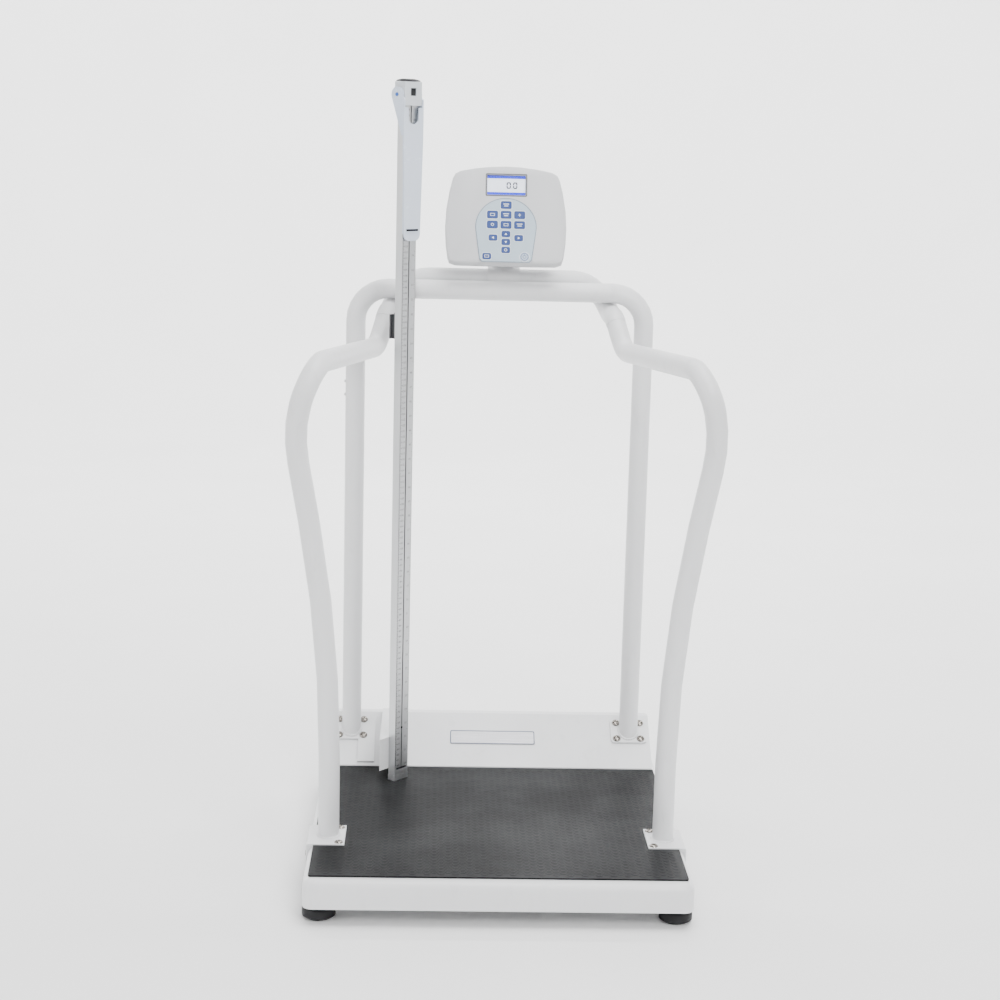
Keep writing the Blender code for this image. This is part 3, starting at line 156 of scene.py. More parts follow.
def paintFinish(name, colour, grain=900.0, roughness=0.36, depth=0.00012):
    # Powder coat: faint orange peel, a slow change of tone, and scuffs that dull the gloss
    material, shader, place = startFinish(name, {"Coat Weight": 0.12, "Coat Roughness": 0.25})
    tone = place.noise(3.5, 4).spread(0.3, 0.7)
    scuff = place.scaled((1, 1, 0.35)).noise(46, 6, 0.65).spread(0.56, 0.72)
    dust = place.noise(210, 2).spread(0.35, 0.65)
    base = tone.blendColours(darker(colour, 0.975), colour)
    plug(shader, Base_Color=scuff.blendColours(base, darker(colour, 0.93)))
    plug(shader, Roughness=roughness + scuff * 0.16 + dust * 0.05)
    bumped(shader, place.noise(grain, 2) + scuff * 0.12, 0.30, depth)
    return material


def plasticFinish(name, colour, grain=1500.0, roughness=0.42, strength=0.35, coat=0.0, depth=0.0001,
                  shine=0.5):
    # Moulded plastic or rubber: a fine grain, a slight change of tone, and wiped streaks that dull it
    fixed = {"Coat Weight": coat, "Coat Roughness": 0.15, "IOR": 1.49, "Specular IOR Level": shine}
    material, shader, place = startFinish(name, fixed)
    tone = place.noise(14, 3).spread(0.3, 0.7)
    wipe = place.scaled((1, 1, 2.2)).noise(60, 5, 0.6).spread(0.55, 0.75)
    plug(shader, Base_Color=tone.blendColours(darker(colour, 0.965), colour))
    plug(shader, Roughness=roughness + wipe * 0.12 + tone * 0.03)
    bumped(shader, place.noise(grain, 1) + place.noise(120, 2) * 0.25, strength, depth)
    return material


def metalFinish(name, colour, stretch=(900, 900, 12), roughness=0.28, strength=0.25, depth=0.00005):
    # Drawn or machined metal: fine lines along one axis, with a slow stain
    material, shader, place = startFinish(name, {"Metallic": 1.0})
    lines = place.scaled(stretch).noise(1.0, 3, 0.6)
    stain = place.noise(22, 4).spread(0.35, 0.7)
    base = lines.spread(0.3, 0.7).blendColours(darker(colour, 0.86), colour)
    plug(shader, Base_Color=stain.blendColours(base, darker(colour, 0.92)))
    plug(shader, Roughness=roughness + lines * 0.14 + stain * 0.06)
    bumped(shader, lines, strength, depth)
    return material


def matFinish():
    # Satin black rubber: moulding grain, trodden areas a little paler and smoother
    look = {"black": (0.0075, 0.0078, 0.0085), "worn": (0.020, 0.0205, 0.022)}
    material, shader, place = startFinish("matRubber", {"Specular IOR Level": 0.07})
    tread = place.noise(4.5, 4).spread(0.40, 0.64)
    dust = place.noise(95, 5, 0.65).spread(0.52, 0.78)
    grit = place.noise(1500, 2)
    worn = tread * 0.6 + dust * 0.4
    plug(shader, Base_Color=worn.blendColours(look["black"], look["worn"]))
    plug(shader, Roughness=0.46 - tread * 0.07 + dust * 0.12)
    bumped(shader, grit + dust * 0.3, 0.35, 0.00012)
    return material


def brushedPlateFinish():
    # Bare metal brushed across the plate
    material, shader, place = startFinish("nameplateBrushed", {"Metallic": 0.75})
    lines = place.scaled((18, 1500, 1500)).noise(1.0, 3, 0.6)
    plug(shader, Base_Color=lines.spread(0.3, 0.7).blendColours((0.40, 0.40, 0.42), (0.56, 0.56, 0.58)))
    plug(shader, Roughness=0.34 + lines * 0.14)
    bumped(shader, lines, 0.2, 0.00004)
    return material


def screenFinish():
    # Lit liquid-crystal picture: a faint dot grid over the colour that each piece is given
    made = {}
    looks = {"screenField": ((0.80, 0.85, 0.95), 0.9), "screenBar": ((0.012, 0.03, 0.62), 0.9),
             "screenInk": ((0.004, 0.004, 0.010), 0.0)}
    for name, (colour, glow) in looks.items():
        material, shader, place = startFinish(name, {"Roughness": 0.25, "Emission Strength": glow})
        dots = place.scaled((1900, 1900, 1900)).part(0).maths("FRACT").spread(0.0, 0.25)
        cloud = place.noise(30, 2).spread(0.3, 0.7)
        shade = dots * 0.5 + cloud * 0.5
        plug(shader, Base_Color=shade.blendColours(darker(colour, 0.9), colour))
        plug(shader, Emission_Color=shade.blendColours(darker(colour, 0.85), colour))
        made[name] = material
    return made


def windowFinish():
    # Clear window with a light smear
    material, shader, place = startFinish("windowClear", {"Base Color": (0.25, 0.28, 0.34), "IOR": 1.49})
    smear = place.noise(40, 4).spread(0.5, 0.8)
    plug(shader, Roughness=0.06 + smear * 0.12, Alpha=0.05 + smear * 0.04)
    return material


def circuitFinish():
    # Green solder mask over winding tracks
    material, shader, place = startFinish("circuitBoard", {"Coat Weight": 0.4, "Coat Roughness": 0.2})
    contours = place.scaled((260, 260, 40)).noise(1.0, 0.0) * 9.0
    tracks = contours.maths("FRACT").spread(0.42, 0.5)
    plug(shader, Base_Color=tracks.blendColours((0.008, 0.09, 0.035), (0.02, 0.17, 0.07)))
    plug(shader, Roughness=0.35 + tracks * 0.1)
    bumped(shader, tracks, 0.3, 0.00005)
    return material


finishes = {
    "rail": paintFinish("railPowderCoat", (0.70, 0.705, 0.715)),
    "base": paintFinish("baseEnamel", (0.71, 0.715, 0.725), 700.0, 0.34, 0.00016),
    "bracket": paintFinish("bracketEnamel", (0.69, 0.695, 0.705), 1100.0, 0.40),
    "darkArm": paintFinish("blackOxideArm", (0.035, 0.036, 0.04), 800.0, 0.42),
    "mat": matFinish(),
    "shell": plasticFinish("displayShellGrey", (0.52, 0.525, 0.54), 1700.0, 0.44, 0.4),
    "film": plasticFinish("keypadFilm", (0.40, 0.49, 0.56), 2600.0, 0.36, 0.2),
    "key": plasticFinish("keyBlue", (0.022, 0.052, 0.20), 2200.0, 0.34, 0.25, 0.2),
    "legend": plasticFinish("keyLegendWhite", (0.80, 0.83, 0.88), 2400.0, 0.5, 0.2),
    "powerKey": plasticFinish("powerKeyPale", (0.42, 0.50, 0.60), 2200.0, 0.34, 0.25, 0.2),
    "pale": plasticFinish("measuringArmPale", (0.56, 0.62, 0.72), 900.0, 0.20, 0.10, 0.6),
    "slider": plasticFinish("sliderPale", (0.52, 0.55, 0.58), 1100.0, 0.34, 0.2, 0.2),
    "black": plasticFinish("blackMoulding", (0.010, 0.010, 0.012), 1300.0, 0.42, 0.3, 0.0, 0.0001, 0.2),
    "pin": plasticFinish("pivotBlue", (0.02, 0.10, 0.40), 1500.0, 0.3, 0.2, 0.3),
    "foot": plasticFinish("footRubber", (0.012, 0.012, 0.0135), 1000.0, 0.46, 0.6, 0.0, 0.0003, 0.25),
    "rod": metalFinish("brushedRod", (0.60, 0.61, 0.62), (1100, 1100, 5), 0.30, 0.3),
    "cell": metalFinish("machinedCell", (0.66, 0.67, 0.69), (700, 18, 700), 0.30),
    "zinc": metalFinish("zincPlate", (0.60, 0.61, 0.60), (60, 14, 60), 0.38, 0.3),
    "steel": metalFinish("turnedSteel", (0.62, 0.62, 0.63), (60, 60, 2600), 0.26, 0.4),
    "chrome": metalFinish("domeScrewChrome", (0.30, 0.28, 0.255), (240, 240, 240), 0.16, 0.1),
    "ink": plasticFinish("rulerInk", (0.010, 0.010, 0.012), 3000.0, 0.6, 0.1, 0.0, 0.00005, 0.1),
    "plate": brushedPlateFinish(),
    "bezel": plasticFinish("screenBezelGrey", (0.10, 0.105, 0.115), 1900.0, 0.45, 0.3),
    "filmRim": plasticFinish("filmRimGrey", (0.16, 0.19, 0.24), 1900.0, 0.4, 0.25),
    "plateRim": plasticFinish("nameplateRimBlue", (0.075, 0.10, 0.17), 1900.0, 0.36, 0.25, 0.2),
    "window": windowFinish(),
    "circuit": circuitFinish(),
}
finishes.update(screenFinish())
print("finishes made:", len(finishes))


def placePiece(name, mesh, body):
    # A finished mesh, already in its place, becomes a piece that rides on its body
    piece = bpy.data.objects.new(name, mesh)
    bpy.context.scene.collection.objects.link(piece)
    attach(piece, body)
    return piece


def toObject(name, data, material, body, angle=40.0, merge=True):
    # Edges turned by more than the angle stay sharp, and the rest shade as round
    if merge:
        bmesh.ops.remove_doubles(data, verts=data.verts, dist=1e-6)
        bmesh.ops.recalc_face_normals(data, faces=data.faces)
    mesh = bpy.data.meshes.new(name)
    data.to_mesh(mesh)
    data.free()
    mesh.shade_smooth()
    mesh.set_sharp_from_angle(angle=math.radians(angle))
    mesh.materials.append(material)
    placePiece(name, mesh, body)


slotOf = {entry["node"]: entry["material_slot"] for entry in frame["record"]["subparts"]}
sharpAngles = {"shell": 35.0, "footPad": 50.0, "footStud": 40.0, "other": 28.0}  # degrees


def smoothCopy(nodeName, material, angle=sharpAngles["other"]):
    # The same solid with its loose triangles merged and its stored normals dropped
    data = bmesh.new()
    data.from_mesh(nodes[nodeName].data)
    bmesh.ops.remove_doubles(data, verts=data.verts, dist=2e-6)
    mesh = bpy.data.meshes.new(nodeName + "Skin")
    data.to_mesh(mesh)
    data.free()
    if "custom_normal" in mesh.attributes:
        mesh.attributes.remove(mesh.attributes["custom_normal"])
    mesh.shade_smooth()
    mesh.set_sharp_from_angle(angle=math.radians(angle))
    mesh.materials.append(material)
    piece = placePiece(nodeName + "Skin", mesh, bodyOf[nodeName])
    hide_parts(nodeName)


def joinLoops(data, loops):
    # Quads between each loop of vertices and the next
    for low, high in zip(loops, loops[1:]):
        for i in range(len(low)):
            j = (i + 1) % len(low)
            data.faces.new((low[i], low[j], high[j], high[i]))


def ringsToData(rings):
    data = bmesh.new()
    loops = [[data.verts.new(point) for point in ring] for ring in rings]
    joinLoops(data, loops)
    data.faces.new(list(reversed(loops[0])))
    data.faces.new(loops[-1])
    return data


def onCircle(radius, i, count):
    angle = math.tau * i / count
    return radius * math.cos(angle), radius * math.sin(angle)


def addBlock(data, low, high):
    corners = [(x, y, z) for z in (low[2], high[2]) for x, y in
               ((low[0], low[1]), (high[0], low[1]), (high[0], high[1]), (low[0], high[1]))]
    made = [data.verts.new(corner) for corner in corners]
    for face in ((3, 2, 1, 0), (4, 5, 6, 7), (0, 1, 5, 4), (1, 2, 6, 5), (2, 3, 7, 6), (3, 0, 4, 7)):
        data.faces.new([made[i] for i in face])


# Each finish with the nodes that wear it
nodeLooks = (
    ("rail", ("rear_hoop", "upper_crossbar", "handrail_left", "handrail_right", "display_bracket")),
    ("bracket", ("rod_base_bracket", "front_saddle_left", "front_saddle_right", "rear_flange_left",
                 "rear_flange_right")),
    ("base", ("platform_deck", "rear_cover")),
    ("shell", ("display_front", "display_back", "battery_door")),
    ("black", ("rod_top_cap", "head_lens")),
    ("slider", ("head_slider",)),
    ("pale", ("paddle",)),
    ("pin", ("pivot_pin_left", "pivot_pin_right")),
    ("rod", ("rod_outer", "rod_inner", "rod_end_cap")),
    ("darkArm", ("rod_upper_bracket",)),
    ("steel", ("display_hinge_bolt",)),
    ("mat", ("tread_mat",)),
    ("plate", ("nameplate",)),
    ("film", ("keypad_overlay",)),
    ("window", ("lcd_window",)),
    ("black", ("lcd_module",)),
    ("circuit", ("main_board",)),
    ("zinc", ("cell_channel_left", "cell_channel_right")),
)
for look, members in nodeLooks:
    for member in members:
        smoothCopy(member, finishes[look], sharpAngles["shell" if look == "shell" else "other"])
for corner in ("front_left", "front_right", "rear_left", "rear_right"):
    smoothCopy("foot_pad_" + corner, finishes["foot"], sharpAngles["footPad"])
    smoothCopy("foot_stud_" + corner, finishes["steel"], sharpAngles["footStud"])
    smoothCopy("load_cell_" + corner, finishes["cell"])
keyNodes = [name for name in nodes if name.startswith("key_")]
for name in keyNodes:
    smoothCopy(name, finishes["powerKey" if name == "key_power" else "key"])
print("skins made")


# Places on the object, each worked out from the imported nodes
def middle(nodeName):
    low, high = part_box(nodeName)
    return (low + high) / 2


def jointAt(name):
    found = [joint for joint in frame["joints"] if joint["name"] == name][0]
    return Vector(found.get("pos_m", (0, 0, 0))), Vector(found["axis"]).normalized()


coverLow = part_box("rear_cover")[0]
slopeLook = {"lip": 0.0045, "rise": 0.070, "run": 0.1045}
slope = {"lipY": coverLow.y, "lipZ": coverLow.z + slopeLook["lip"],
         "angle": math.atan2(slopeLook["rise"], slopeLook["run"])}
slopeAlong = Vector((0, math.cos(slope["angle"]), math.sin(slope["angle"])))
slopeUp = Vector((0, -math.sin(slope["angle"]), math.cos(slope["angle"])))


def onSlope(x, up, above):
    # a point up the sloped cover from its front lip, and above its face
    return Vector((x, slope["lipY"], slope["lipZ"])) + slopeAlong * up + slopeUp * above


pushWay = jointAt("key_top_press")[1]  # into the display's face
faceRight = Vector((1, 0, 0))
faceUp = faceRight.cross(pushWay)


def onFace(across, up, out, origin):
    # a point beside, above and in front of a point on the display's face
    return origin + faceRight * across + faceUp * up - pushWay * out


paddleAxis = jointAt("paddle_fold")[1]
rulerRight = Vector((-paddleAxis.x, -paddleAxis.y, 0)).normalized()
rulerOut = Vector((rulerRight.y, -rulerRight.x, 0))
rodMiddle = middle("rod_outer")
rodSize = {"width": 0.0345, "depth": 0.015, "innerDrop": 0.0023}  # innerDrop: from outer to inner mast's face
faceOrigin = Vector((rodMiddle.x, rodMiddle.y, 0)) + rulerOut * (rodSize["depth"] / 2)


def onRuler(across, out, height):
    # a point across, out from and up the ruler's face
    return faceOrigin + rulerRight * across + rulerOut * out + Vector((0, 0, height))


# One dome-headed screw with a cross recess, set out by a geometry tree
screwLook = {"radius": 0.0074, "height": 0.0036, "recessLong": 0.56, "recessWide": 0.13, "recessDeep": 0.42,
             "crown": 2.3, "shoulder": 0.55, "crowding": 0.8, "rings": 9, "sectors": 40,
             "sharpAngle": 50}


def toMaster(name, data):
    mesh = bpy.data.meshes.new(name)
    data.to_mesh(mesh)
    data.free()
    master = bpy.data.objects.new(name, mesh)
    bpy.context.scene.collection.objects.link(master)
    return master


def screwMaster():
    data = bmesh.new()
    look = screwLook

    def heightAt(r, angle):
        # r runs from 0 at the middle to 1 at the rim
        u, v = r * math.cos(angle), r * math.sin(angle)
        top = look["height"] * (1 - r ** look["crown"]) ** look["shoulder"] if r < 1 else 0.0
        inArm = min(abs(u), abs(v)) < look["recessWide"] and max(abs(u), abs(v)) < look["recessLong"]
        return top - (look["recessDeep"] * look["height"] if inArm else 0.0)

    tip = data.verts.new((0, 0, heightAt(0, 0)))
    loops = []
    for ring in range(1, look["rings"] + 1):
        r = (ring / look["rings"]) ** look["crowding"]
        loop = []
        for i in range(look["sectors"]):
            angle = math.tau * i / look["sectors"]
            x, y = onCircle(r * look["radius"], i, look["sectors"])
            loop.append(data.verts.new((x, y, heightAt(r, angle))))
        loops.append(loop)
    for i in range(look["sectors"]):
        data.faces.new((tip, loops[0][i], loops[0][(i + 1) % look["sectors"]]))
    for low, high in zip(loops, loops[1:]):
        for i in range(look["sectors"]):
            j = (i + 1) % look["sectors"]
            data.faces.new((low[i], high[i], high[j], low[j]))
    data.faces.new(list(reversed(loops[-1])))
    master = toMaster("screwMaster", data)
    master.data.shade_smooth()
    master.data.set_sharp_from_angle(angle=math.radians(look["sharpAngle"]))
    return master


def startTree(name, sockets):
    # An empty tree with named inputs, and each input's identifier by its name
    tree = bpy.data.node_groups.new(name, "GeometryNodeTree")
    face = tree.interface
    face.new_socket("Geometry", in_out="INPUT", socket_type="NodeSocketGeometry")
    ids = {label: face.new_socket(label, in_out="INPUT", socket_type="NodeSocket" + kind).identifier
           for label, kind in sockets.items()}
    face.new_socket("Geometry", in_out="OUTPUT", socket_type="NodeSocketGeometry")
    return tree, ids


def scatterTree():
    # Copies a master over a mesh's points; each point's vector "facing" turns its copy
    tree, ids = startTree("setOut", {"Master": "Object", "Size": "Float", "Spin": "Float", "Seed": "Int",
                                     "Finish": "Material"})
    make, link = tree.nodes.new, tree.links.new
    start, end = make("NodeGroupInput"), make("NodeGroupOutput")
    source = make("GeometryNodeObjectInfo")
    link(start.outputs["Master"], source.inputs["Object"])
    facing = make("GeometryNodeInputNamedAttribute")
    facing.data_type = "FLOAT_VECTOR"
    facing.inputs["Name"].default_value = "facing"
    align = make("FunctionNodeAlignEulerToVector")
    align.axis = "Z"
    link(facing.outputs[0], align.inputs["Vector"])
    dice = make("FunctionNodeRandomValue")
    dice.data_type = "FLOAT"
    link(start.outputs["Seed"], dice.inputs["Seed"])
    link(start.outputs["Spin"], dice.inputs[3])
    turn = make("ShaderNodeCombineXYZ")
    link(dice.outputs[1], turn.inputs["Z"])
    local = make("FunctionNodeRotateEuler")
    local.space = "LOCAL"
    link(align.outputs[0], local.inputs["Rotation"])
    link(turn.outputs[0], local.inputs["Rotate By"])
    place = make("GeometryNodeInstanceOnPoints")
    link(start.outputs["Geometry"], place.inputs["Points"])
    link(source.outputs["Geometry"], place.inputs["Instance"])
    link(local.outputs[0], place.inputs["Rotation"])
    link(start.outputs["Size"], place.inputs["Scale"])
    real, dress = make("GeometryNodeRealizeInstances"), make("GeometryNodeSetMaterial")
    link(start.outputs["Finish"], dress.inputs["Material"])
    link(place.outputs[0], real.inputs[0])
    link(real.outputs[0], dress.inputs[0])
    link(dress.outputs[0], end.inputs[0])
    return tree, ids


def treeResult(name, mesh, tree, ids, values):
    # The tree's result on a mesh, as a plain mesh of its own
    host = bpy.data.objects.new(name + "Host", mesh)
    bpy.context.scene.collection.objects.link(host)
    modifier = host.modifiers.new("tree", "NODES")
    modifier.node_group = tree
    for label, value in values.items():
        modifier[ids[label]] = value
    graph = bpy.context.evaluated_depsgraph_get()
    result = bpy.data.meshes.new_from_object(host.evaluated_get(graph))
    result.name = name
    bpy.data.objects.remove(host)
    return result


scatter, scatterIds = scatterTree()
screwObject = screwMaster()


def setOut(name, master, look, places, body, size=1.0, spin=1.5, seed=3):
    # places are (point, the way its copy faces)
    mesh = bpy.data.meshes.new(name + "Points")
    mesh.from_pydata([place for place, _ in places], [], [])
    facing = mesh.attributes.new("facing", "FLOAT_VECTOR", "POINT")
    for i, (_, way) in enumerate(places):
        facing.data[i].vector = way
    values = {"Master": master, "Size": size, "Spin": spin, "Seed": seed, "Finish": look}
    placePiece(name, treeResult(name, mesh, scatter, scatterIds, values), body)


# Screws in the flanges on the sloped cover, and in the top and the side of each front saddle
up = Vector((0, 0, 1))
flangeUp = 0.0046  # top of the flanges above the cover's slope
flangeScrews = {"across": 0.0225, "up": (0.0665, 0.1035)}
saddleScrews = {"topIn": 0.0093, "topAlong": 0.034, "sideIn": 0.0014, "sideAlong": 0.026, "sideUp": 0.0075}
hoopX = middle("rear_flange_right").x
baseScrews = []
for side in (-1, 1):
    for across in (-flangeScrews["across"], flangeScrews["across"]):
        for along in flangeScrews["up"]:
            baseScrews.append((onSlope(side * hoopX + across, along, flangeUp), slopeUp))
for side in (-1, 1):
    saddleLow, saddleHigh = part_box("front_saddle_right" if side > 0 else "front_saddle_left")
    inner, outer = (saddleLow.x, saddleHigh.x) if side > 0 else (saddleHigh.x, saddleLow.x)
    midY = (saddleLow.y + saddleHigh.y) / 2
    for along in (-saddleScrews["topAlong"], saddleScrews["topAlong"]):
        point = Vector((inner + side * saddleScrews["topIn"], midY + along, saddleHigh.z))
        baseScrews.append((point, up))
    for along in (-saddleScrews["sideAlong"], saddleScrews["sideAlong"]):
        point = Vector((outer - side * saddleScrews["sideIn"], midY + along,
                        saddleLow.z + saddleScrews["sideUp"]))
        baseScrews.append((point, Vector((side, 0, 0))))
setOut("frameScrews", screwObject, finishes["chrome"], baseScrews, "scale_frame")

# Small screws in the display's back, four at its corners and one at the top, measured from the hinge
backLook = {"across": 0.066, "low": -0.025, "high": 0.079, "top": 0.0845, "forward": 0.0102, "size": 0.5,
            "spin": 1.5, "seed": 5}
hingePoint = jointAt("display_tilt")[0]
backPlaces = [(across, along) for across in (-backLook["across"], backLook["across"])
              for along in (backLook["low"], backLook["high"])]
backPlaces.append((0, backLook["top"]))
backScrews = [(hingePoint + faceUp * along + faceRight * across - pushWay * backLook["forward"], pushWay)
              for across, along in backPlaces]
setOut("displayBackScrews", screwObject, finishes["chrome"], backScrews, "display_head",
       backLook["size"], backLook["spin"], backLook["seed"])
print("screws set out")


# Mat: low six-sided coins with a raised rim, in staggered columns
# Each step is a ring's radius and its height as a share of the rise, with -1 for the sunk foot
coinLook = {"pitch": 0.0132, "columnShare": 0.866, "rise": 0.00032, "sink": 0.0001, "margin": 0.0085,
            "sides": 6, "steps": ((0.0061, -1), (0.0057, 1), (0.0038, 1), (0.0034, 0.35))}


def coinMaster():
    rings = []
    for radius, level in coinLook["steps"]:
        height = coinLook["rise"] * level if level > 0 else -coinLook["sink"]
        rings.append([(*onCircle(radius, i, coinLook["sides"]), height) for i in range(coinLook["sides"])])
    data = ringsToData(rings)
    return toMaster("coinMaster", data)


matLow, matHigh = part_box("tread_mat")
saddleBoxes = [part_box("front_saddle_left"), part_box("front_saddle_right")]


def coinFits(x, y):
    # clear of the mat's edges and of the front saddles
    edge = coinLook["margin"]
    if not (matLow.x + edge < x < matHigh.x - edge and matLow.y + edge < y < matHigh.y - edge):
        return False
    for low, high in saddleBoxes:
        if low.x - edge < x < high.x + edge and low.y - edge < y < high.y + edge:
            return False
    return True


coinPlaces = []
columnStep = coinLook["pitch"] * coinLook["columnShare"]
columns = int((matHigh.x - matLow.x) / columnStep / 2)
rows = int((matHigh.y - matLow.y) / coinLook["pitch"]) + 1
for column in range(-columns, columns + 1):
    for row in range(rows):
        x = column * columnStep
        y = matLow.y + (row + 0.5 * (column % 2)) * coinLook["pitch"]
        if coinFits(x, y):
            coinPlaces.append((Vector((x, y, matHigh.z)), up))
coinObject = coinMaster()
setOut("matCoins", coinObject, finishes["mat"], coinPlaces, "scale_frame", spin=0.0)
print("mat coins:", len(coinPlaces))


# Weld beads where the posts meet their plates
beadLook = {"tube": 0.0176, "bead": 0.0021, "ripple": 0.00035, "ripples": 24, "lift": 0.0002, "steps": 96,
            "sides": 8, "frontX": 0.2785}


def weldBead(data, points, normal):
    # A rippled round bead along a closed ring of points
    loops = []
    count = len(points)
    for i in range(count):
        ahead = (points[(i + 1) % count] - points[i - 1]).normalized()
        outward = ahead.cross(normal).normalized()
        size = beadLook["bead"] + beadLook["ripple"] * math.sin(math.tau * beadLook["ripples"] * i / count)
        loop = []
        for k in range(beadLook["sides"]):
            u, v = onCircle(size, k, beadLook["sides"])
            loop.append(data.verts.new(points[i] + outward * u + normal * v))
        loops.append(loop)
    joinLoops(data, loops + loops[:1])


beads = bmesh.new()
hoopMidY = middle("rear_hoop").y
for side, saddle in ((-1, "front_saddle_left"), (1, "front_saddle_right")):
    tubeRing = [onCircle(beadLook["tube"], i, beadLook["steps"]) for i in range(beadLook["steps"])]
    rearRing = []
    for x, y in tubeRing:
        along = (hoopMidY + y - slope["lipY"]) / math.cos(slope["angle"])
        along += flangeUp * math.tan(slope["angle"])
        rearRing.append(onSlope(side * hoopX + x, along, flangeUp + beadLook["lift"]))
    weldBead(beads, rearRing, slopeUp)
    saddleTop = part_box(saddle)[1].z + beadLook["lift"]
    frontMiddle = Vector((side * beadLook["frontX"], middle(saddle).y, saddleTop))
    weldBead(beads, [frontMiddle + Vector((x, y, 0)) for x, y in tubeRing], up)
toObject("postWeldBeads", beads, finishes["rail"], "scale_frame", 60.0)


# Packing between each front saddle and the deck's rounded edge
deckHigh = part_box("platform_deck")[1]
linerLook = {"edge": 0.0132, "play": 0.0002, "steps": 8, "end": 0.0012}
for side, name in ((-1, "front_saddle_left"), (1, "front_saddle_right")):
    low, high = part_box(name)
    wall, top = deckHigh.x + linerLook["play"], deckHigh.z + linerLook["play"]
    reach = linerLook["edge"]
    profile = [(deckHigh.x - reach, top), (wall, top), (wall, deckHigh.z - reach)]
    for i in range(linerLook["steps"] + 1):
        x, z = onCircle(reach, i, 4 * linerLook["steps"])
        profile.append((deckHigh.x - reach + x, deckHigh.z - reach + z))
    rings = [[(side * x, y, z) for x, z in profile]
             for y in (low.y + linerLook["end"], high.y - linerLook["end"])]
    toObject("saddlePacking" + ("Left" if side < 0 else "Right"), ringsToData(rings), finishes["bracket"],
             "scale_frame", 30.0)


# Ruler marks: a metric and an inch column of ticks, with their figures, on each mast
rulerLook = {"fine": 0.0010, "tickWide": 0.00045, "mid": 0.0040, "long": 0.0054, "lift": 0.00005,
             "figure": 0.0050, "letterPitch": 0.62, "letterDrop": 0.36, "bottom": 0.018, "top": 0.004,
             "edge": 0.0006, "metricIn": 0.0092, "inchIn": 0.0075, "metricGap": 0.01, "inch": 0.0254,
             "inchParts": 8, "firstInch": 20}


def tickTree():
    # Rows of thin marks up the ruler: one quad each, every fifth and tenth one longer
    tree, ids = startTree("rulerTicks", {"Count": "Int", "Step": "Float", "Length": "Float",
                                         "Thickness": "Float"})
    make, link = tree.nodes.new, tree.links.new
    start, end = make("NodeGroupInput"), make("NodeGroupOutput")
    offset = make("ShaderNodeCombineXYZ")
    link(start.outputs["Step"], offset.inputs["Z"])
    line = make("GeometryNodeMeshLine")
    link(start.outputs["Count"], line.inputs["Count"])
    link(offset.outputs[0], line.inputs["Offset"])
    number = make("GeometryNodeInputIndex")

    def everyNth(n):
        rest = make("FunctionNodeIntegerMath")
        rest.operation = "MODULO"
        rest.inputs[1].default_value = n
        link(number.outputs[0], rest.inputs[0])
        same = make("FunctionNodeCompare")
        same.data_type = "INT"
        same.operation = "EQUAL"
        link(rest.outputs[0], same.inputs[2])
        return same.outputs[0]

    def pick(test, yes, no):
        choice = make("GeometryNodeSwitch")
        choice.input_type = "FLOAT"
        link(test, choice.inputs[0])
        for slot, value in ((choice.inputs[2], yes), (choice.inputs[1], no)):
            if isinstance(value, float):
                slot.default_value = value
            else:
                link(value, slot)
        return choice.outputs[0]

    share = pick(everyNth(10), 1.0, pick(everyNth(5), 0.72, 0.48))
    width = make("ShaderNodeMath")
    width.operation = "MULTIPLY"
    link(share, width.inputs[0])
    link(start.outputs["Length"], width.inputs[1])
    size = make("ShaderNodeCombineXYZ")
    link(width.outputs[0], size.inputs["X"])
    link(start.outputs["Thickness"], size.inputs["Z"])
    size.inputs["Y"].default_value = 1.0
    quad = make("GeometryNodeMeshGrid")
    quad.inputs["Vertices X"].default_value = 2
    quad.inputs["Vertices Y"].default_value = 2
    quad.inputs["Size X"].default_value = 1.0
    quad.inputs["Size Y"].default_value = 1.0
    stand = make("GeometryNodeTransform")
    stand.inputs["Translation"].default_value = (0.5, 0, 0)
    stand.inputs["Rotation"].default_value = (math.radians(90), 0, 0)
    link(quad.outputs["Mesh"], stand.inputs["Geometry"])
    place = make("GeometryNodeInstanceOnPoints")
    link(line.outputs[0], place.inputs["Points"])
    link(stand.outputs[0], place.inputs["Instance"])
    link(size.outputs[0], place.inputs["Scale"])
    real, dress = make("GeometryNodeRealizeInstances"), make("GeometryNodeSetMaterial")
    dress.inputs["Material"].default_value = finishes["ink"]
    link(place.outputs[0], real.inputs[0])
    link(real.outputs[0], dress.inputs[0])
    link(dress.outputs[0], end.inputs[0])
    return tree, ids


ticks, tickIds = tickTree()


def tickColumn(name, body, count, step, length, origin, way):
    # way is 1 for ticks that run to the right from the origin, and -1 for ticks that run to the left
    values = {"Count": count, "Step": step, "Length": length, "Thickness": rulerLook["tickWide"]}
    mesh = treeResult(name, bpy.data.meshes.new(name + "Seed"), ticks, tickIds, values)
    basis = Matrix((rulerRight * way, -rulerOut, up)).transposed().to_4x4()
    basis.translation = origin
    mesh.transform(basis)
    data = bmesh.new()
    data.from_mesh(mesh)
    for poly in data.faces:
        if poly.normal.dot(rulerOut) < 0:
            poly.normal_flip()
    data.to_mesh(mesh)
    data.free()
    placePiece(name, mesh, body)


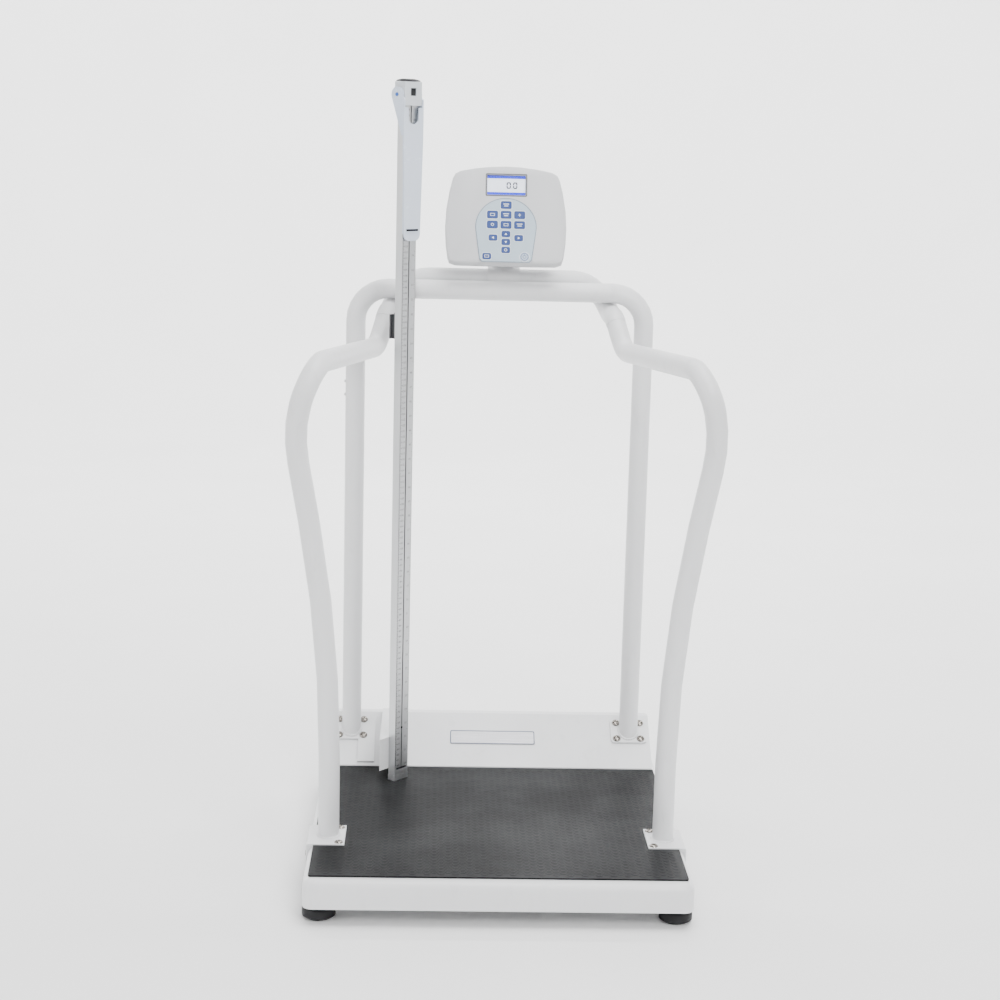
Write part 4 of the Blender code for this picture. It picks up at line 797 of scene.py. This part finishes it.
def figures(name, body, rows, out):
    # rows are (text, across, z): figures laid flat on the ruler's face
    height = rulerLook["figure"]
    merged = bmesh.new()
    basis = Matrix((rulerRight, up, rulerOut)).transposed().to_4x4()
    shapes = {}
    for text, across, z in rows:
        for place, sign in enumerate(text):
            if sign not in shapes:
                curve = bpy.data.curves.new("figure", "FONT")
                curve.body = sign
                curve.size = height
                curve.resolution_u = 2
                curve.align_x = "CENTER"
                holder = bpy.data.objects.new("figure", curve)
                bpy.context.scene.collection.objects.link(holder)
                graph = bpy.context.evaluated_depsgraph_get()
                shapes[sign] = bpy.data.meshes.new_from_object(holder.evaluated_get(graph))
                bpy.data.objects.remove(holder)
            copy = shapes[sign].copy()
            shift = (place - (len(text) - 1) / 2) * height * rulerLook["letterPitch"]
            copy.transform(basis @ Matrix.Translation((shift, -height * rulerLook["letterDrop"], 0)))
            copy.transform(Matrix.Translation(onRuler(across, out, z)))
            merged.from_mesh(copy)
            bpy.data.meshes.remove(copy)
    toObject(name, merged, finishes["ink"], body, 30.0, merge=False)


def dressMast(nodeName, label, half, out, firstNumber):
    low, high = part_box(nodeName)
    bottom = low.z + rulerLook["bottom"]
    run = high.z - rulerLook["top"] - bottom
    body, slotName = bodyOf[nodeName], slotOf[nodeName]
    lift = out + rulerLook["lift"]
    edge = half - rulerLook["edge"]
    tickColumn(label + "MetricTicks", body, int(run / rulerLook["fine"]), rulerLook["fine"],
               rulerLook["long"], onRuler(-edge, lift, bottom), 1)
    inchStep = rulerLook["inch"] / rulerLook["inchParts"]
    tickColumn(label + "InchTicks", body, int(run / inchStep), inchStep, rulerLook["mid"],
               onRuler(edge, lift, bottom), -1)
    rows = [(str(firstNumber + i), rulerLook["metricIn"] - half, bottom + i * rulerLook["metricGap"])
            for i in range(int(run / rulerLook["metricGap"]))]
    rows += [(str(rulerLook["firstInch"] + i), half - rulerLook["inchIn"], bottom + i * rulerLook["inch"])
             for i in range(int(run / rulerLook["inch"]))]
    figures(label + "Figures", body, rows, lift)


firstFigure = {"outer": 60, "inner": 76}
dressMast("rod_outer", "outerMast", rodSize["width"] / 2, 0.0, firstFigure["outer"])
dressMast("rod_inner", "innerMast", rodSize["width"] / 2 - rodSize["innerDrop"], -rodSize["innerDrop"],
          firstFigure["inner"])
print("ruler marked")


# Small fittings on the rod, the left post and the paddle
def disc(data, centre, axis, radius, thick, sides=24, dome=0.0):
    # A button with a stepped edge; each step is a share of the radius, a share of the thickness, a dome
    side = axis.orthogonal().normalized()
    other = axis.cross(side)
    loops = []
    for reach, rise, crown in ((1.0, 0.0, 0.0), (1.0, 0.6, 0.0), (0.86, 1.0, 0.0), (0.4, 1.0, dome)):
        ring = [onCircle(radius * reach, i, sides) for i in range(sides)]
        loops.append([data.verts.new(centre + axis * (thick * rise + crown) + side * u + other * v)
                      for u, v in ring])
    joinLoops(data, loops)
    data.faces.new(loops[-1])
    data.faces.new(list(reversed(loops[0])))


rulerBasis = Matrix((rulerRight, rulerOut, up)).transposed().to_4x4()
rulerBasis.translation = onRuler(0, 0, 0)


def rulerBlock(name, low, high, material, body, bevel=0.0):
    # A block whose corners are given across, out from and up the ruler's face
    data = bmesh.new()
    addBlock(data, low, high)
    if bevel:
        bmesh.ops.bevel(data, geom=data.edges[:], offset=bevel, segments=2, affect="EDGES")
    bmesh.ops.transform(data, matrix=rulerBasis, verts=data.verts)
    toObject(name, data, material, body)


stopLook = {"up": 0.176, "radius": 0.0021, "thick": 0.0005}
stops = bmesh.new()
disc(stops, onRuler(0, 0.0, stopLook["up"]), rulerOut, stopLook["radius"], stopLook["thick"])
toObject("grooveStop", stops, finishes["black"], "scale_frame")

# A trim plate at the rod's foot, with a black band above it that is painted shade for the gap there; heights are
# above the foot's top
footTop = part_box("rod_end_cap")[1].z
trimLook = {"half": 0.0166, "back": 0.00005, "front": 0.0008, "low": 0.0008, "high": 0.0092, "bevel": 0.0003}
gapShadeLook = {"half": 0.0128, "front": 0.00035, "low": 0.0105, "high": 0.0135}
rulerBlock("rodFootTrim", (-trimLook["half"], trimLook["back"], footTop + trimLook["low"]),
           (trimLook["half"], trimLook["front"], footTop + trimLook["high"]),
           finishes["rod"], "scale_frame", trimLook["bevel"])
# The black band is painted shade: a dark strip standing for the gap between the rod's face and the trim plate
rulerBlock("rodFootBand", (-gapShadeLook["half"], 0.0, footTop + gapShadeLook["low"]),
           (gapShadeLook["half"], gapShadeLook["front"], footTop + gapShadeLook["high"]),
           finishes["ink"], "scale_frame")

# Two small pegs on the outside of the left rear post
pegLook = {"heights": (0.784, 0.760), "sunk": 0.0004, "forward": 0.003, "radius": 0.0026, "thick": 0.0024,
           "sides": 20, "dome": 0.0006}
pegs = bmesh.new()
pegX = pegLook["sunk"] - hoopX - beadLook["tube"]
for height in pegLook["heights"]:
    disc(pegs, Vector((pegX, hoopMidY - pegLook["forward"], height)), Vector((-1, 0, 0)), pegLook["radius"],
         pegLook["thick"], pegLook["sides"], pegLook["dome"])
toObject("cableClipPegs", pegs, finishes["bracket"], "scale_frame")

# Reading line and finger ridge near the paddle's tip; heights are above the tip
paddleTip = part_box("paddle")[0].z
paddleOut = 0.0064  # front of the paddle, out from the ruler's face
lineLook = {"half": 0.0150, "back": 0.00003, "front": 0.0002, "low": 0.0165, "high": 0.0200}
ridgeLook = {"half": 0.0165, "front": 0.0009, "low": 0.0135, "high": 0.0147, "bevel": 0.0003}
rulerBlock("paddleReadingLine",
           (-lineLook["half"], paddleOut + lineLook["back"], paddleTip + lineLook["low"]),
           (lineLook["half"], paddleOut + lineLook["front"], paddleTip + lineLook["high"]),
           finishes["ink"], "measuring_paddle")
rulerBlock("paddleFingerRidge", (-ridgeLook["half"], paddleOut, paddleTip + ridgeLook["low"]),
           (ridgeLook["half"], paddleOut + ridgeLook["front"], paddleTip + ridgeLook["high"]),
           finishes["pale"], "measuring_paddle", ridgeLook["bevel"])


# Nameplate: a blank brushed plate inside a raised dark rim
plateLow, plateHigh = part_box("nameplate")
rimLook = {"wide": 0.0016, "lift": 0.0016, "outerFoot": 0.0011, "innerFoot": 0.0013, "corner": 0.003,
           "innerShare": 0.6, "up": 0.052, "tall": 0.031}


def roundedLoop(width, height, radius, steps=6):
    points = []
    for corner, (sx, sy) in enumerate(((1, 1), (-1, 1), (-1, -1), (1, -1))):
        for i in range(steps + 1):
            angle = math.radians(90) * (corner + i / steps)
            points.append((sx * (width / 2 - radius) + radius * math.cos(angle),
                           sy * (height / 2 - radius) + radius * math.sin(angle)))
    return points


plateMidX = (plateLow.x + plateHigh.x) / 2
plateWide = plateHigh.x - plateLow.x
rim = bmesh.new()
outerLoop = roundedLoop(plateWide, rimLook["tall"], rimLook["corner"])
innerLoop = roundedLoop(plateWide - 2 * rimLook["wide"], rimLook["tall"] - 2 * rimLook["wide"],
                        rimLook["corner"] - rimLook["wide"] * rimLook["innerShare"])
midUp = rimLook["up"] + rimLook["tall"] / 2
levels = [(outerLoop, rimLook["outerFoot"]), (outerLoop, rimLook["lift"]), (innerLoop, rimLook["lift"]),
          (innerLoop, rimLook["innerFoot"])]
loops = [[rim.verts.new(onSlope(plateMidX + u, midUp + v, above)) for u, v in loop] for loop, above in levels]
joinLoops(rim, loops + loops[:1])
toObject("nameplateRim", rim, finishes["plateRim"], "scale_frame")


# Display: screen picture, key signs and the film's border
def faceSolid(data, loop, origin, low, high):
    # A flat outline on the display's face, given thickness from low to high
    rings = [[data.verts.new(onFace(u, v, out, origin)) for u, v in loop] for out in (low, high)]
    joinLoops(data, rings)
    data.faces.new(rings[1])
    data.faces.new(list(reversed(rings[0])))


def rectLoop(centreU, centreV, width, height):
    return [(centreU - width / 2, centreV - height / 2), (centreU + width / 2, centreV - height / 2),
            (centreU + width / 2, centreV + height / 2), (centreU - width / 2, centreV + height / 2)]


windowMid = middle("lcd_window")
screenLook = {"wide": 0.0680, "tall": 0.0356, "thick": 0.0006, "bar": 0.0052, "barRise": 0.00006,
              "deep": -0.0014}
screen = bmesh.new()
faceSolid(screen, rectLoop(0, 0, screenLook["wide"], screenLook["tall"]), windowMid,
          screenLook["deep"] - screenLook["thick"], screenLook["deep"])
toObject("screenField", screen, finishes["screenField"], "display_head")
bars = bmesh.new()
barRise = (screenLook["tall"] - screenLook["bar"]) / 2
for sign in (-1, 1):
    faceSolid(bars, rectLoop(0, sign * barRise, screenLook["wide"], screenLook["bar"]), windowMid,
              screenLook["deep"], screenLook["deep"] + screenLook["barRise"])
toObject("screenBars", bars, finishes["screenBar"], "display_head")

# The reading is two noughts of six strokes each, with a point between; flat strokes stand a hair higher
digitLook = {"wide": 0.0058, "tall": 0.0098, "stroke": 0.0022, "overlap": 0.4, "gap": 0.0115, "first": 0.0042,
             "point": 0.005704, "pointSize": 0.0013, "rise": 0.0001, "flatRise": 0.00012}
digits = bmesh.new()


def drawNought(data, centreU):
    w, h, s = digitLook["wide"], digitLook["tall"], digitLook["stroke"]
    upright = h / 2 - s * digitLook["overlap"]
    strokes = [(0, h / 2, w, s, digitLook["flatRise"]), (0, -h / 2, w, s, digitLook["flatRise"])]
    strokes += [(u, v, s, upright, digitLook["rise"]) for v in (h / 4, -h / 4) for u in (-w / 2, w / 2)]
    for u, v, wide, tall, rise in strokes:
        faceSolid(data, rectLoop(centreU + u, v, wide, tall), windowMid, screenLook["deep"],
                  screenLook["deep"] + rise)


for place in (digitLook["first"], digitLook["first"] + digitLook["gap"]):
    drawNought(digits, place)
point = rectLoop(digitLook["first"] + digitLook["point"], -digitLook["tall"] / 2, digitLook["pointSize"],
                 digitLook["pointSize"])
faceSolid(digits, point, windowMid, screenLook["deep"], screenLook["deep"] + digitLook["rise"])
toObject("screenReading", digits, finishes["screenInk"], "display_head")

# Bezel round the window: each row is a rounded outline's width, height and corner, and how far out it is
bezelLook = {"faceOut": 0.0016, "rows": ((0.0745, 0.0425, 0.0025, -0.0002), (0.0735, 0.0415, 0.0022, 0.0005),
                                         (0.0700, 0.0378, 0.0014, 0.0005), (0.0694, 0.0372, 0.0012, -0.0008))}
bezel = bmesh.new()
faceAt = windowMid - pushWay * bezelLook["faceOut"]  # the display's face, over the window's middle
loops = [[bezel.verts.new(onFace(u, v, out, faceAt)) for u, v in roundedLoop(width, height, corner)]
         for width, height, corner, out in bezelLook["rows"]]
joinLoops(bezel, loops + loops[:1])
toObject("screenBezel", bezel, finishes["bezel"], "display_head")

# Generic signs: arrows, bars, rings, boxes and a power ring
signs = {"key_top": "bars", "key_upper_left": "box", "key_upper_centre": "bars", "key_upper_right": "plus",
         "key_middle_left": "ring", "key_middle_centre": "box", "key_middle_right": "bars", "key_up": "up",
         "key_down": "down", "key_left": "left", "key_right": "right", "key_lower": "ring",
         "key_print": "box", "key_power": "power"}


def hollowLoop(data, outer, inner, origin, low, high):
    # A raised frame between two outlines of as many points
    rows = [[data.verts.new(onFace(u, v, out, origin)) for u, v in loop]
            for loop, out in ((outer, low), (outer, high), (inner, high), (inner, low))]
    joinLoops(data, rows + rows[:1])


def circleLoop(radius, count=24):
    return [onCircle(radius, i, count) for i in range(count)]


# Sizes of the signs; low and high are how far the ink stands out from the key's face
signLook = {"low": -0.00002, "high": 0.0001, "arrow": 0.0022, "arrowBack": 0.7, "bars": (0.0098, 0.0072),
            "barApart": 0.8, "barTall": 0.0013, "plus": 0.0009, "plusSpan": 2.2, "box": (0.0080, 0.0048),
            "line": 0.0014, "ring": (0.0026, 0.0018), "powerRim": (0.0068, 0.0059),
            "powerRing": (0.0032, 0.0025), "powerBar": (0.0035, 0.0008, 0.0026), "powerRise": 0.00006}
arrowTurns = {"up": 0, "left": 90, "down": 180, "right": 270}


def drawSign(data, kind, origin):
    low, high, s = signLook["low"], signLook["high"], signLook["arrow"]
    if kind in arrowTurns:
        turn = math.radians(arrowTurns[kind])
        back = -s * signLook["arrowBack"]
        loop = [(u * math.cos(turn) - v * math.sin(turn), u * math.sin(turn) + v * math.cos(turn))
                for u, v in ((0, s), (-s, back), (s, back))]
        faceSolid(data, loop, origin, low, high)
    elif kind == "bars":
        for way, width in zip((1, -1), signLook["bars"]):
            faceSolid(data, rectLoop(0, way * s * signLook["barApart"], width, signLook["barTall"]), origin,
                      low, high)
    elif kind == "plus":
        stroke, span = signLook["plus"], s * signLook["plusSpan"]
        faceSolid(data, rectLoop(0, 0, span, stroke), origin, low, high)
        for way in (-1, 1):
            faceSolid(data, rectLoop(0, way * (span / 4 + stroke / 2), stroke, span / 2), origin, low, high)
    elif kind == "box":
        wide, tall = signLook["box"]
        inner = rectLoop(0, 0, wide - signLook["line"], tall - signLook["line"])
        hollowLoop(data, rectLoop(0, 0, wide, tall), inner, origin, low, high)
    elif kind == "ring":
        outer, inner = signLook["ring"]
        hollowLoop(data, circleLoop(outer), circleLoop(inner), origin, low, high)
    elif kind == "power":
        outer, inner = signLook["powerRim"]
        hollowLoop(data, circleLoop(outer, 36), circleLoop(inner, 36), origin, low, high)
        outer, inner = signLook["powerRing"]
        hollowLoop(data, circleLoop(outer), circleLoop(inner), origin, low, high)
        rise, wide, tall = signLook["powerBar"]
        faceSolid(data, rectLoop(0, rise, wide, tall), origin, high, high + signLook["powerRise"])


keyHalfDeep = 0.0026  # from a key's middle to its front
for name in keyNodes:
    data = bmesh.new()
    drawSign(data, signs[name], middle(name) - pushWay * keyHalfDeep)
    look = finishes["key"] if name == "key_power" else finishes["legend"]
    toObject(name + "Sign", data, look, bodyOf[name])

# Raised border round each key and round the film; a key's height is a share of its width
borderLook = {"faceOut": 0.0021, "shape": 0.729, "corner": 0.0030, "outer": 0.0012, "inner": 0.0005,
              "outerCorner": 0.0004, "innerCorner": -0.0002, "sunk": -0.0001, "rise": 0.00022,
              "filmRise": 0.0003, "filmIn": 0.0004, "cornerSteps": 5, "ringSteps": 36}
border = bmesh.new()
topMid = middle("key_top")
filmFace = topMid - pushWay * borderLook["faceOut"]
for name in keyNodes:
    at = middle(name) - topMid
    low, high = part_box(name)
    wide = high.x - low.x
    outlines = []
    for edge in ("outer", "inner"):
        grow = borderLook[edge]
        if name == "key_power":
            outline = circleLoop(wide / 2 + grow, borderLook["ringSteps"])
        else:
            corner = borderLook["corner"] + borderLook[edge + "Corner"]
            outline = roundedLoop(wide + 2 * grow, wide * borderLook["shape"] + 2 * grow, corner,
                                  borderLook["cornerSteps"])
        outlines.append([(at.dot(faceRight) + u, at.dot(faceUp) + v) for u, v in outline])
    hollowLoop(border, *outlines, filmFace, borderLook["sunk"], borderLook["rise"])
toObject("keyBorders", border, finishes["legend"], "display_head")

# The film is an arch with a straight foot; heights are from its lower edge, and keyUp is the top key's
archLook = {"radius": 0.0548, "centre": 0.0655, "halfBottom": 0.0468, "bottom": 0.0020, "wide": 0.0013,
            "keyUp": 0.1071, "chamfer": 0.004, "steps": 40}


def archLoop(inset):
    radius = archLook["radius"] - inset
    half, low = archLook["halfBottom"] - inset, archLook["bottom"] + inset - archLook["keyUp"]
    cut = archLook["chamfer"]
    points = [(-half + cut, low), (half - cut, low), (half, low + cut)]
    for i in range(archLook["steps"] + 1):
        u, v = onCircle(radius, i, 2 * archLook["steps"])
        points.append((u, archLook["centre"] - archLook["keyUp"] + v))
    points.append((-half, low + cut))
    return points


arch = bmesh.new()
hollowLoop(arch, archLoop(borderLook["filmIn"]), archLoop(archLook["wide"]), filmFace, borderLook["sunk"],
           borderLook["filmRise"])
toObject("filmBorder", arch, finishes["filmRim"], "display_head")
print("display dressed")


# Studio: a round sheet of paper that curves up into a wall, so that every side has the same pale ground
# Each lamp is its name, place, aim, width and length, and power
studio = {"paper": (0.90, 0.90, 0.90), "paperLight": (0.93, 0.93, 0.93), "drop": 0.0005, "sky": 0.24,
          "wall": 6.0, "curve": 1.8, "curveSteps": 12, "wallTop": 4.4, "sides": 96,
          "lamps": (("overhead", (0.5, -0.6, 3.9), (0, 0, 0), (2.6, 2.6), 190.0),
                    ("keyLight", (1.5, -3.6, 2.9), (0, 0, 0.6), (1.3, 1.3), 120.0),
                    ("sideLight", (-3.0, -1.4, 1.5), (0, 0, 0.6), (0.6, 2.2), 40.0),
                    ("backLight", (0.0, 2.4, 4.1), (0, 5.6, 0.2), (6.0, 1.0), 520.0))}
sweep = []
for i in range(studio["curveSteps"] + 1):
    angle = math.radians(90) * i / studio["curveSteps"]
    sweep.append((studio["wall"] - studio["curve"] * (1 - math.sin(angle)),
                  studio["curve"] * (1 - math.cos(angle))))
sweep.append((studio["wall"], studio["wallTop"]))
paperData = bmesh.new()
paperRings = []
for reach, height in sweep:
    paperRings.append([paperData.verts.new((*onCircle(reach, i, studio["sides"]), height - studio["drop"]))
                       for i in range(studio["sides"])])
paperData.faces.new(paperRings[0])
for low, high in zip(paperRings, paperRings[1:]):
    for i in range(studio["sides"]):
        j = (i + 1) % studio["sides"]
        paperData.faces.new((low[j], low[i], high[i], high[j]))
floorMesh = bpy.data.meshes.new("studioFloor")
paperData.to_mesh(floorMesh)
paperData.free()
floorMesh.shade_smooth()
floor = bpy.data.objects.new("studioFloor", floorMesh)
bpy.context.scene.collection.objects.link(floor)
floorFinish, floorShader, floorPlace = startFinish("studioPaper", {"Roughness": 0.7})
paper = floorPlace.noise(2.0, 2).spread(0.3, 0.7).blendColours(studio["paper"], studio["paperLight"])
plug(floorShader, Base_Color=paper)
floorMesh.materials.append(floorFinish)

world = bpy.data.worlds.new("studioSky")
bpy.context.scene.world = world
world.use_nodes = True
sky = world.node_tree.nodes["Background"]
sky.inputs["Color"].default_value = (1, 1, 1, 1)
sky.inputs["Strength"].default_value = studio["sky"]
for name, place, aim, size, power in studio["lamps"]:
    lamp = bpy.data.lights.new(name, "AREA")
    lamp.shape = "RECTANGLE"
    lamp.size, lamp.size_y = size
    lamp.energy = power
    holder = bpy.data.objects.new(name, lamp)
    holder.location = place
    holder.rotation_euler = (Vector(aim) - Vector(place)).to_track_quat("-Z", "Y").to_euler()
    bpy.context.scene.collection.objects.link(holder)

# The camera: its lens and film width in mm, its turns in degrees and its place in metres
shot = {"lens": 68.4, "film": 36, "reach": 60, "pitch": 10.887, "yaw": 2.039, "roll": 1.443,
        "place": (-0.1144, -3.1469, 1.2287)}
pitch, yaw, roll = (math.radians(shot[key]) for key in ("pitch", "yaw", "roll"))
ahead = Vector((math.sin(yaw) * math.cos(pitch), math.cos(yaw) * math.cos(pitch), -math.sin(pitch)))
level = Vector((math.cos(yaw), -math.sin(yaw), 0))
above = level.cross(ahead)
right = math.cos(roll) * level + math.sin(roll) * above
upward = -math.sin(roll) * level + math.cos(roll) * above
lens = bpy.data.cameras.new("studioCamera")
lens.lens = shot["lens"]
lens.sensor_width = shot["film"]
lens.clip_end = shot["reach"]
camera = bpy.data.objects.new("studioCamera", lens)
place = Matrix((right, upward, -ahead)).transposed().to_4x4()
place.translation = Vector(shot["place"])
camera.matrix_world = place
bpy.context.scene.collection.objects.link(camera)
bpy.context.scene.camera = camera
for master in (screwObject, coinObject):
    bpy.data.objects.remove(master)
print("studio set")
